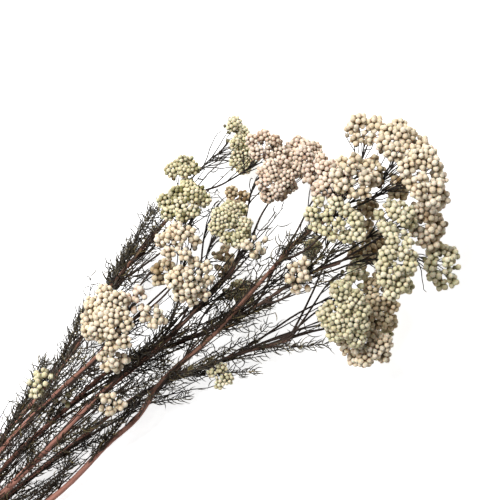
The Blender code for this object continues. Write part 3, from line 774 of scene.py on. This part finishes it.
BUD_FINISHES = {
    "cream": make_bud_finish("cream_papery_buds", "#FCF4E2", "#E8D6B4", "#8A6A3C", "#3A2C18"),
    "pink": make_bud_finish("blush_papery_buds", "#FCF2E5", "#EAD5BE", "#8E6440", "#442E1C"),
    "green": make_bud_finish("green_papery_buds", "#F8F2D9", "#DED7AC", "#77723A", "#35311A"),
    # Tan buds: partly a browner tone of their own, partly painted shade, a darker copy of the cream.
    "tan": make_bud_finish("tan_and_shaded_papery_buds", "#F0E6CC", "#CBB58E", "#74582E", "#32281A"),
}
print("finishes:", [material.name for material in bpy.data.materials])

# %% [markdown]
# A stem follows a smooth curve through the points of its route. It wavers a little from it, swells
# at the scars of fallen leaves, and thins towards its tip.
# %% Wood of the stems
STEM_SIDES = 12
STEM_STEP = 3.0
SCAR_SPACING = 11.0
SCAR_SWELL = 0.06
GIRTH = 0.93
BUTT_REST = 30.0
WAVER = 0.5
WAVER_LENGTHS = np.array((17.0, 23.0, 29.0))
BARK_AGE = 0.6
OLDEST_BARK = {"stem_3": 0.42, "stem_4": 0.3}
FRESH_UP_TO = 150
AGES_OVER = 240


def through(points, step):
    """Smooth route through points: cubic pieces whose slope at each point is half the chord between
    its two neighbours, with a point about every step."""
    points = np.array(points, float)
    slopes = np.gradient(points, axis=0)
    route = [points[:1]]
    for i in range(len(points) - 1):
        steps = max(int(np.linalg.norm(points[i + 1] - points[i]) / step), 1)
        pulls = points[i] + slopes[i] / 3, points[i + 1] - slopes[i + 1] / 3
        route.append(curve(points[i], *pulls, points[i + 1], np.linspace(0, 1, steps + 1)[1:]))
    return np.concatenate(route)


def stem_shape(name, rng):
    """The stem as one rod: radius from butt to tip, times small swellings at its leaf scars."""
    stem = STEMS[name]
    route = through(stem.route, STEM_STEP)
    run = run_of(route)
    loose = np.clip(run / BUTT_REST - 1, 0, 1)[:, None]
    route = route + WAVER * loose * np.sin(run[:, None] / WAVER_LENGTHS + rng.uniform(0, 6, 3))
    radii = stem.butt + (stem.tip - stem.butt) * run / run[-1]
    scars = SCAR_SWELL * np.cos(run * TURN / SCAR_SPACING) ** 8
    radii = radii * (GIRTH + scars + SCAR_SWELL / 2 * np.sin(run / 5))
    age = np.clip(0.02 + (run - FRESH_UP_TO) / AGES_OVER, 0.0, OLDEST_BARK.get(name, BARK_AGE))
    return tubes(route[None], radii, STEM_SIDES, age=age[None])


# %% [markdown]
# Each head hangs on a branch that thins from its fork to its hub. Slimmer side branches leave it
# before the hub, one for each cluster of buds, and curve up under that cluster, as in a corymb.
# %% Branches and their side branches
BRANCH_SIDES = 7
BRANCH_STEPS_FINE = 18
BRANCH_THICK = (0.8, 0.45)
SIDE_STEPS = 7
SIDE_SIDES = 5
SIDE_THICK = (0.38, 0.24)
SIDE_PULLS = (0.3, 0.25)
SIDE_BOW = 0.45
SIDE_WAVER = 0.25
KINK = 0.02
LARGEST_KINK = 0.9
KNOTS = 5
FAN = (1.0, 24.0)
FAN_SHARE = 0.6
HUB_INWARD = 0.75
BARE_TWIGS = 3
BARE_SPREAD = 1.1
FORK_AGES = (90, 300), (0.35, 0.7)
TIP_AGE = 0.95


def branch_shape(name, rng):
    """A head's branch, up to its hub, kinked a little: straight side steps between random knots."""
    controls = bunch.branches[name]
    t = np.linspace(0, 1, BRANCH_STEPS_FINE)
    size = np.linalg.norm(controls[3] - controls[0])
    knots = rng.normal(0, 1, (KNOTS, 3))
    knots[[0, -1]] = 0
    kinks = point_at(knots, np.arange(KNOTS), t * (KNOTS - 1))
    path = curve(*controls, t) + kinks * min(size * KINK, LARGEST_KINK)
    start = np.interp(controls[0][0], *FORK_AGES)
    age = start + (TIP_AGE - start) * t
    return path, tubes(path[None], np.linspace(*BRANCH_THICK, len(t)), BRANCH_SIDES, age=age[None])


def side_branches(name, path, rng):
    """Side branches from a branch's last stretch up to each cluster's hub, and a few bare ones.

    Each one leaves at a distance in FAN before the branch's end, bows out towards its own side of
    the head, and turns up into the way that the head faces.
    """
    crown = crowns[name]
    count = len(crown.spots)
    hubs = crown.at(np.column_stack((crown.spots * HUB_INWARD, np.full(count, crown.floor + 1.0))))
    bare = rng.uniform(-BARE_SPREAD, BARE_SPREAD, (BARE_TWIGS, 2)) * crown.half
    bare = crown.at(np.column_stack((bare, np.full(BARE_TWIGS, crown.floor - 3.0))))
    ends = np.concatenate((hubs, bare))
    run = run_of(path)
    leave = run[-1] - np.minimum(rng.uniform(*FAN, len(ends)), FAN_SHARE * run[-1])
    start = point_at(path, run, leave)
    ahead = unit(point_at(path, run, leave + 2) - start + 1e-6 * crown.facing)
    reach = np.linalg.norm(ends - start, axis=1, keepdims=True)
    t = np.linspace(0, 1, SIDE_STEPS)
    first = start + ahead * SIDE_PULLS[0] * reach + (ends - path[-1]) * SIDE_BOW
    routes = curve(start, first, ends - crown.facing * SIDE_PULLS[1] * reach, ends, t)
    routes[:, 1:-1] += rng.normal(0, SIDE_WAVER, routes[:, 1:-1].shape)
    thick = np.linspace(*SIDE_THICK, SIDE_STEPS)
    return hubs, tubes(routes, thick, SIDE_SIDES, age=ageing(routes, SIDE_AGES))


# %% [markdown]
# The buds of a head sit on balls that press against each other. They start on a golden-angle spiral
# on every ball. Those that would lie inside a neighbour are left out, and the rest push each other
# apart along their balls. Buds inside each ball and under it close the gaps, drawn darker with painted
# shade, and the buds that fill holes get a little of it.
# %% Where the buds sit
SPACING = 2.06
HEX_ROOM = 0.87
FILL_ROOM = 0.55
UNDER_ROOM = 1.25
BUD_VARY = 0.1
FILL_SINK = -0.2
FILL_INSET = 0.9
FILL_APART = 0.86
UNDER_DEPTH = (3.5, 6.5)
UNDER_REACH = 1.04
UNDER_APART = 0.95
# How much painted shade darkens the buds under the dome, in its holes and inside its balls.
UNDER_SHADE = (0.42, 1.0)
FILL_SHADE = 0.15
INNER_SHADE = 0.7
OUTLINE_WAVES = ((2, 0.09), (3, 0.08), (5, 0.05))
BALL_GROWTH = 1.36
BALL_VARY = 0.16
BALL_SIZES = (0.72, 1.22)
BALL_LEAN = 2.2
BALL_EDGE = -0.45
SHIFT_SIDEWAYS = 0.8
SHIFT_UP = 1.6
RELAX_ROUNDS = 40
RELAX_PUSH = 0.3
CULL_DEPTH = 0.5
CROWDED = 0.74

BudPlaces = namedtuple("BudPlaces", "places ways radii depth")


def wavy(plan, phases):
    """Plan spots moved in or out by slow waves round the head, so that its outline is uneven."""
    turn = np.arctan2(plan[:, 1], plan[:, 0])
    swell = [size * np.sin(waves * turn + phase) for (waves, size), phase in zip(OUTLINE_WAVES, phases)]
    return plan * (1 + sum(swell))[:, None]


def cluster_balls(crown, radius, phases, rng):
    """Middles, outward ways and radii of a head's clusters, a little out of line with each other."""
    plan = crown.spots / crown.reach
    push = (wavy(plan, phases) - plan) * crown.reach
    slope = BALL_LEAN * CORE_TIP * 2 * crown.rise * plan / crown.reach
    tip = unit(np.column_stack((slope, np.ones(len(plan)))))
    out = unit(tip[:, :2] @ crown.ways + tip[:, 2:] * crown.facing)
    count = len(plan)
    push = push + SHIFT_SIDEWAYS * rng.normal(0, 1, (count, 2)).clip(-1.5, 1.5)
    middles = crown.middles() + push @ crown.ways
    middles = middles + crown.facing * rng.uniform(-SHIFT_UP, SHIFT_UP, (count, 1))
    size = BALL_GROWTH * crown.cluster_radius * rng.normal(1, BALL_VARY, count).clip(*BALL_SIZES)
    return middles, out, np.maximum(size - radius, 0.6 * radius)


def hole_fillers(crown, places, spacing, phases, rng):
    """Buds on a golden-angle spiral over the dome, wherever the balls leave a hole for one."""
    count = int(np.pi * crown.half[0] * crown.half[1] / (FILL_ROOM * spacing ** 2))
    plan = spiral(count, rng.uniform(0, 6.3))
    height = crown.dome(plan) + FILL_SINK * crown.cluster_radius
    spots = wavy(plan, phases) * (crown.half - FILL_INSET * spacing)
    spots = crown.at(np.column_stack((spots, height)))
    kept = places
    for spot in spots + rng.normal(0, 0.3, spots.shape):
        if np.linalg.norm(kept - spot, axis=1).min() > FILL_APART * spacing:
            kept = np.vstack((kept, spot))
    return kept[len(places):]


def lower_storey(crown, places, spacing, phases, rng):
    """Buds under the dome and a little past its rim, none of them alone or on the table."""
    reach = crown.half * UNDER_REACH
    count = int(np.pi * reach[0] * reach[1] / (UNDER_ROOM * spacing ** 2))
    plan = spiral(count, rng.uniform(0, 6.3))
    height = crown.dome(plan) - rng.uniform(*UNDER_DEPTH, len(plan))
    under = crown.at(np.column_stack((wavy(plan, phases) * reach, height)))
    under = under[under[:, 2] > spacing / 2]
    nearest = np.linalg.norm(under[:, None] - places, axis=2).min(axis=1)
    return under[nearest <= UNDER_APART * spacing]


def bud_places(name, rng):
    """Places, ways, radii and painted shade of a head's buds: those on the balls, then those inside."""
    crown, radius = crowns[name], HEADS[name].bud
    spacing = SPACING * radius
    phases = rng.uniform(0, 6.3, len(OUTLINE_WAVES))
    middles, out, balls = cluster_balls(crown, radius, phases, rng)
    each = np.ceil(TURN * balls ** 2 * (1 - BALL_EDGE) / (HEX_ROOM * spacing ** 2)).astype(int) + 1
    owner = np.repeat(np.arange(len(middles)), each)
    number = np.concatenate([np.arange(count) for count in each]) + 0.5
    up = 1 - (1 - BALL_EDGE) * number / each[owner]
    turn = number * GOLDEN_ANGLE + rng.uniform(0, 6.3, len(middles))[owner]
    flat = np.sqrt(1 - up * up)
    side, lift = square_to(out, bearing(17, 8))
    ways = (up[:, None] * out[owner] + (flat * np.cos(turn))[:, None] * side[owner]
            + (flat * np.sin(turn))[:, None] * lift[owner])
    places = middles[owner] + balls[owner][:, None] * ways

    def sunk(places):
        away = np.linalg.norm(places[:, None] - middles, axis=2) - balls
        away[np.arange(len(places)), owner] = 0
        return away.min(axis=1)

    keep = sunk(places) > -CULL_DEPTH * radius
    owner, places = owner[keep], places[keep]
    for _ in range(RELAX_ROUNDS):
        distance = np.linalg.norm(places[:, None] - places, axis=2)
        places = pushed_apart(places, distance, spacing, RELAX_PUSH)
        ways = unit(places - middles[owner])
        places = middles[owner] + balls[owner][:, None] * ways
    distance = np.linalg.norm(places[:, None] - places, axis=2) + np.tri(len(places)) * FAR_OFF
    keep = (distance.min(axis=0) > CROWDED * spacing) & (sunk(places) > -1.2 * CULL_DEPTH * radius)
    places, ways = places[keep], ways[keep]
    fill = hole_fillers(crown, places, spacing, phases, rng)
    places = np.concatenate((places, fill))
    ways = np.concatenate((ways, np.tile(crown.facing, (len(fill), 1))))
    ways = unit(ways + 0.3 * crown.facing + rng.normal(0, 0.18, ways.shape))
    radii = radius * (1 + BUD_VARY * rng.normal(0, 1, len(places)).clip(-2, 1.6))
    under = lower_storey(crown, places, spacing, phases, rng)
    inner = np.concatenate((middles - 0.3 * crown.facing * radius, under))
    inner = inner + rng.normal(0, 0.4, inner.shape)
    inner_ways = unit(crown.facing + rng.normal(0, 0.4, inner.shape))
    # Painted shade: none on the outer buds, a little on those in the holes, more inside the balls and
    # under the dome.
    depth = np.concatenate((
        np.zeros(len(places) - len(fill)), np.full(len(fill), FILL_SHADE),
        np.full(len(middles), INNER_SHADE), rng.uniform(*UNDER_SHADE, len(under)),
    ))
    radii = np.concatenate((radii, radius * rng.uniform(0.7, 1.0, len(inner))))
    return BudPlaces(np.concatenate((places, inner)), np.concatenate((ways, inner_ways)), radii, depth)


# %% [markdown]
# One bud is a profile turned round: narrow at its foot, widest near its middle and blunt at the
# top. Its rings are slightly three-cornered, each turned against the next, as the scales overlap.
# %% The buds themselves
BUD_SIDES = 8
BUD_PROFILE = np.array((
    (-1.12, 0.20), (-0.80, 0.66), (-0.15, 1.0), (0.45, 0.90), (0.86, 0.50), (1.0, 0.16),
))
BUD_BULGE = 0.07
STALK_PULLS = (0.3, 0.35)
STALK_THICK = (0.2, 0.17)
STALK_SIDES = 3


def bud_shape(buds, tone, browning_and_painted_shade, dry, rng):
    """Turned profile at every place: height h along the bud's way, width w times (cos a, sin a)."""
    count = len(buds.places)
    height, width = BUD_PROFILE.T
    turn = np.arange(BUD_SIDES) * TURN / BUD_SIDES
    guide = np.eye(3)[np.argmin(np.abs(buds.ways), axis=1)]
    basis = np.stack((*square_to(buds.ways, guide), buds.ways), axis=1)
    spin = rng.uniform(0, TURN, count)[:, None, None]
    ring = np.arange(len(height))[:, None]
    wide = width[:, None] * (1 + BUD_BULGE * np.cos(3 * turn + ring * np.pi / 3))
    across, up = wide * np.cos(turn + spin), wide * np.sin(turn + spin)
    tall = height[:, None] * rng.uniform(0.92, 1.1, count)[:, None, None]
    local = np.stack((across, up, np.broadcast_to(tall, across.shape)), axis=-1)
    corners = buds.radii[:, None, None, None] * np.einsum("nrsk,nkc->nrsc", local, basis)
    corners = corners + buds.places[:, None, None]
    rise = (height - height[0]) / (height[-1] - height[0])
    scales = local * BUD_RADIUS + rng.uniform(0, 500, (count, 1, 1, 3))
    marks = {"tone": tone[:, None, None], "browning_and_painted_shade": browning_and_painted_shade[:, None, None],
             "rise": rise[:, None] * (1 - dry[:, None, None])}
    marks = {name: np.broadcast_to(value, across.shape).ravel() for name, value in marks.items()}
    marks["scales"] = scales.reshape(-1, 3)
    return Shape(corners.reshape(-1, 3), ring_faces(count, len(height), BUD_SIDES), marks)


def bud_stalks(buds, hubs):
    """A fine stalk from the nearest cluster's hub to the foot of every bud."""
    feet = buds.places - buds.ways * buds.radii[:, None]
    start = hubs[np.argmin(np.linalg.norm(feet[:, None] - hubs, axis=2), axis=1)]
    reach = np.linalg.norm(feet - start, axis=1, keepdims=True)
    t = np.linspace(0, 1, 4)
    leaving, arriving = STALK_PULLS
    paths = curve(start, start + (feet - start) * leaving, feet - buds.ways * arriving * reach, feet, t)
    return tubes(paths, np.linspace(*STALK_THICK, len(t)), STALK_SIDES, age=ageing(paths, STALK_AGES))


# %% [markdown]
# The leafy parts make the lower half dark. A shoot is a thin rod with needle leaves round it, each
# a golden-angle turn from the last, and a dry needle curls into a hook. Besides the large shoots of
# the CAD model, every stem grows finer ones by seeded draws: short leafy ones, and slim ones that
# run along with the stem. Four stems also have a bushy stretch or a tuft near their end. No shoot
# grows into a head, past the far stem's side, or beyond the lowest stem, whose outer side is bare.
# %% Leafy shoots and needle leaves
NEEDLE_STEPS = 6
NEEDLE_SIDES = 3
NEEDLE_RADII = 0.34 * np.array((0.7, 1.0, 1.0, 0.9, 0.6, 0.15))
TINT_DRAW = (1.5, 2.4)
BARE_SIDE = ("stem_4", -0.5, 195.0)
FAR_SIDE = ("stem_1", 15.0)
HEAD_MARGIN = 1.5
PAST_END = 40.0

Growth = namedtuple("Growth", "thick needles length lean stretch spacing first last size aside",
                    defaults=[None] * 5)
LARGE = Growth(0.7, 62, 8.5, 60, (0.25, 1.0))
FEATHERY = LARGE._replace(needles=150, length=10.0)
LEAFY = Growth(0.42, 18, 8.5, 74, (0.1, 0.99), 12.0, 60, 270, (14, 32), (6, 17))
SLIM = Growth(0.6, 8, 9.0, 74, (0.25, 0.99), 8.5, 20, 260, (60, 120), (3, 12))
BUSHY = Growth(0.36, 15, 9.0, 72, (0.1, 0.99), 4.0, 165, 290, (18, 40), (8, 26))
TUFT = BUSHY._replace(spacing=5.0, first=290, last=330, size=(14, 26), aside=(6, 14))
EXTRA = {"stem_1": BUSHY, "stem_2": BUSHY, "stem_4": TUFT, "stem_5": TUFT}
NEEDLE_LEAN = (0.65, 1.3)
NEEDLE_CURL = (0.2, 1.7)
NEEDLE_VARY = (0.55, 1.2)
CURLED_BACK = 0.15


def leaves_on(controls, growth, rng):
    """Leaves on many shoots at once, each an arc from a point of its shoot's curve.

    Its lean from the shoot at step t is wide (1 - curl t), and each step of the arc adds
    (cos lean ahead + sin lean out), where out goes round the shoot by the golden angle.
    """
    shoots, count = len(controls), growth.needles
    routes = curve(*np.moveaxis(controls, 1, 0), np.linspace(*growth.stretch, count))
    ahead, side, lift = square_ways(routes)
    turn = (np.arange(count) * GOLDEN_ANGLE + rng.uniform(0, 6.3, (shoots, 1)))[..., None]
    out = np.cos(turn) * side + np.sin(turn) * lift
    each = (shoots, count, 1)
    wide = np.radians(growth.lean) * rng.uniform(*NEEDLE_LEAN, each)
    curl = rng.uniform(*NEEDLE_CURL, each) * np.where(rng.random(each) < CURLED_BACK, -1, 1)
    t = np.linspace(0, 1, NEEDLE_STEPS - 1)
    lean = (wide * (1 - curl * t))[..., None]
    steps = np.cos(lean) * ahead[:, :, None] + np.sin(lean) * out[:, :, None]
    steps = steps + rng.normal(0, 0.12, (*each, 3)) * t[:, None]
    size = (growth.length * rng.uniform(*NEEDLE_VARY, (shoots, count)))[..., None, None] / len(t)
    paths = np.concatenate((np.zeros((*each, 3)), np.cumsum(steps * size, axis=2)), axis=2)
    return (routes[:, :, None] + paths).reshape(-1, NEEDLE_STEPS, 3)


def inside_heads(points):
    """True for each point that lies within or just over any head, taken as an egg shape."""
    found = np.zeros(len(points), bool)
    for crown in crowns.values():
        local = (points - crown.place) @ np.vstack((crown.ways, crown.facing)).T
        height = crown.rise + crown.cluster_radius + 2 * HEAD_MARGIN
        axes = np.array((*(crown.half + HEAD_MARGIN), height))
        found |= np.sum((local / axes) ** 2, axis=1) < 1
    return found


def beside(points, name, margin):
    """How far each point lies to the left of a line at a margin from a stem, seen from above."""
    route = np.array(STEMS[name].route, float)
    return points[:, 1] - (np.interp(points[:, 0], route[:, 0], route[:, 1]) + margin)


def outside(points):
    """True for each point that lies beyond the bare outer stem, on the side away from the bunch."""
    name, margin, reach = BARE_SIDE
    return (beside(points, name, margin) < 0) & (points[:, 0] < reach)


def shoots_of(name, growth, rng):
    """Control points of one kind of finer shoot along a stem, turned round it by golden angle.

    Each starts on the stem and ends some way along it and some way aside, so it keeps to the bunch.
    """
    route = through(STEMS[name].route, 1.0)
    run = np.arange(growth.first, min(len(route) - 12, growth.last), growth.spacing)
    run = run + rng.uniform(-0.4, 0.4, len(run)) * growth.spacing
    at = np.clip(run.astype(int), 1, len(route) - 2)
    start = route[at]
    ahead = unit(route[at + 1] - route[at - 1])
    side, lift = square_to(ahead, UP)
    turn = (np.arange(len(at)) * GOLDEN_ANGLE + rng.uniform(0, 6))[:, None]
    out = np.cos(turn) * side + np.sin(turn) * lift
    size = rng.uniform(*growth.size, len(at))
    aside = rng.uniform(*growth.aside, len(at))[:, None] * out
    past = np.clip(at + size - (len(route) - 1), 0, PAST_END)[:, None]
    end = route[np.minimum((at + size).astype(int), len(route) - 1)] + past * ahead + aside
    size = size[:, None]
    end = end + rng.normal(0, 0.04, end.shape) * size
    last = unit(end - start + 0.5 * aside)
    pulls = start + 0.25 * size * ahead + 0.35 * aside, end - 0.3 * size * last
    controls = np.stack((start, *pulls, end), axis=1)
    controls[..., 2] = np.maximum(controls[..., 2], 1.0)
    spots = curve(*np.moveaxis(controls, 1, 0), np.linspace(0.2, 1, 8)).reshape(-1, 3)
    off = inside_heads(spots) | outside(spots) | (beside(spots, *FAR_SIDE) > 0)
    return controls[~off.reshape(len(at), -1).any(axis=1)]


def shoot_shapes(controls, growth, rng):
    """The rods of many shoots, from thick at the fork to a fine tip."""
    t = np.linspace(0, 1, 9)
    paths = curve(*np.moveaxis(controls, 1, 0), t)
    paths[:, 1:] += rng.normal(0, 0.3, paths[:, 1:].shape)
    return tubes(paths, growth.thick * (1 - 0.6 * t), SIDE_SIDES, age=ageing(paths, SHOOT_AGES))


def leaf_shape(paths, rng):
    """Leaves as thin rods that swell from their root and end in a point."""
    paths = paths[~(inside_heads(paths[:, -1]) | outside(paths[:, -1]))]
    tint = np.broadcast_to(rng.beta(*TINT_DRAW, len(paths))[:, None], paths.shape[:2])
    return tubes(paths, NEEDLE_RADII, NEEDLE_SIDES, tint=tint)


# %% [markdown]
# Each stem becomes a piece of wood, one of fine stalks and one of leaves, which all stand for its
# solid, and each head a piece of buds. Two slow waves through a head let its buds' tone and dryness
# change in patches.
# %% Make the bunch
SEED = 7
TONE_SPREAD = {"cream": (0.0, 0.9), "pink": (0.1, 1.0), "green": (0.0, 1.0), "tan": (0.1, 1.0)}
TONE_WAVE = np.array((0.35, 0.28, 0.3))
DRY_WAVE = np.array((0.5, -0.45, 0.4))
PATCHY = 0.45
TONE_DRAW = (1.6, 1.9)
BROWNING_DRAW = (1.0, 11)
DRY_DRAW = (1.4, 2.6)
DARKEST = 0.95
DRIEST = 0.9


def wave(places, lengths, rng):
    """A slow wave from 0 to 1 through a head's buds: half of 1 plus a sine, from a random start."""
    return 0.5 + 0.5 * np.sin(places @ lengths + rng.uniform(0, 6))


def make_head(name, rng):
    """The buds of a head as one piece; hands back its buds for the stalks."""
    tone = HEADS[name].tone
    buds = bud_places(name, rng)
    count = len(buds.radii)
    low, high = TONE_SPREAD[tone]
    slow = wave(buds.places, TONE_WAVE, rng)
    blend = PATCHY * slow + (1 - PATCHY) * rng.beta(*TONE_DRAW, count)
    # Random browning of single buds, plus the painted shade of those that sit deep inside the head.
    browning_and_painted_shade = np.clip(rng.beta(*BROWNING_DRAW, count) + buds.depth * 0.8, 0, DARKEST)
    patch = wave(buds.places, DRY_WAVE, rng)
    dry = HEADS[name].dry * rng.beta(*DRY_DRAW, count) * (0.5 + patch)
    shape = bud_shape(buds, low + (high - low) * blend, browning_and_painted_shade, np.clip(dry, 0, DRIEST), rng)
    add_piece(name + "_buds", [shape], BUD_FINISHES[tone], name)
    return buds


def make_stem(name, rng):
    """Wood, stalks, buds and leaves of everything that grows on one stem."""
    wood, stalks = [stem_shape(name, rng)], []
    for head in [key for key, value in HEADS.items() if value.stem == name]:
        path, shape = branch_shape(head, rng)
        wood.append(shape)
        hubs, shape = side_branches(head, path, rng)
        stalks += [shape, bud_stalks(make_head(head, rng), hubs)]
    grown = [(np.array(bunch.shoots[name]), FEATHERY if name == "stem_1" else LARGE)]
    grown += [(shoots_of(name, growth, rng), growth) for growth in (LEAFY, SLIM)]
    wood += [shoot_shapes(shoots, growth, rng) for shoots, growth in grown]
    leaves = [leaves_on(shoots, growth, rng) for shoots, growth in grown]
    if name in EXTRA:
        extra = shoots_of(name, EXTRA[name], rng)
        wood.append(shoot_shapes(extra, EXTRA[name], rng))
        leaves.append(leaves_on(extra, EXTRA[name], rng))
    add_piece(name + "_wood", wood, bark, name)
    add_piece(name + "_stalks", stalks, stalk_finish, name)
    add_piece(name + "_leaves", [leaf_shape(np.concatenate(leaves), rng)], leaf_finish, name)


for number, name in enumerate(STEMS):
    make_stem(name, np.random.default_rng(SEED + number))
print("pieces:", len(tally), "triangles:", sum(tally.values()), "largest:", max(tally.values()))

# %% [markdown]
# The table is a plain white sheet that gives off a little light of its own, so that the bunch
# throws no hard shadow. A large soft lamp stands to the picture's upper left.
# %% Floor and light
FLOOR_HALF = 2.0
FLOOR_GAP = 0.05 * MM
WHITE = (1, 1, 1, 1)
Lamp = namedtuple("Lamp", "azimuth height distance size power")


def make_floor():
    """A flat white square just under the bunch."""
    height = float(SLIDE[2]) - FLOOR_GAP
    ends = ((-1, -1), (1, -1), (1, 1), (-1, 1))
    corners = [(x * FLOOR_HALF, y * FLOOR_HALF, height) for x, y in ends]
    mesh = bpy.data.meshes.new("floor")
    mesh.from_pydata(corners, [], [(0, 1, 2, 3)])
    material, _ = new_material("white_table", Roughness=0.9, Base_Color=linear("#F4F4F4"),
                               Emission_Color=WHITE, Emission_Strength=0.8)
    mesh.materials.append(material)
    floor = put("floor", mesh)


def make_lamp(name, given):
    """A square soft lamp at a bearing round the bunch's middle, which it faces."""
    data = bpy.data.lights.new(name, "AREA")
    data.size = given.size
    data.energy = given.power
    lamp = put(name, data)
    way = bearing(given.azimuth, given.height)
    lamp.location = to_frame(PICTURE_MIDDLE) + way * given.distance
    side, _ = square_to(way, UP)
    lamp.rotation_euler = Matrix(np.column_stack((np.cross(side, way), side, way))).to_euler()


make_floor()
make_lamp("key", Lamp(azimuth=100, height=52, distance=1.4, size=0.6, power=28))
world = bpy.data.worlds.new("studio")
world.use_nodes = True
world.node_tree.nodes["Background"].inputs["Color"].default_value = WHITE
world.node_tree.nodes["Background"].inputs["Strength"].default_value = 0.2
bpy.context.scene.world = world
bpy.context.scene.view_settings.view_transform = "Standard"
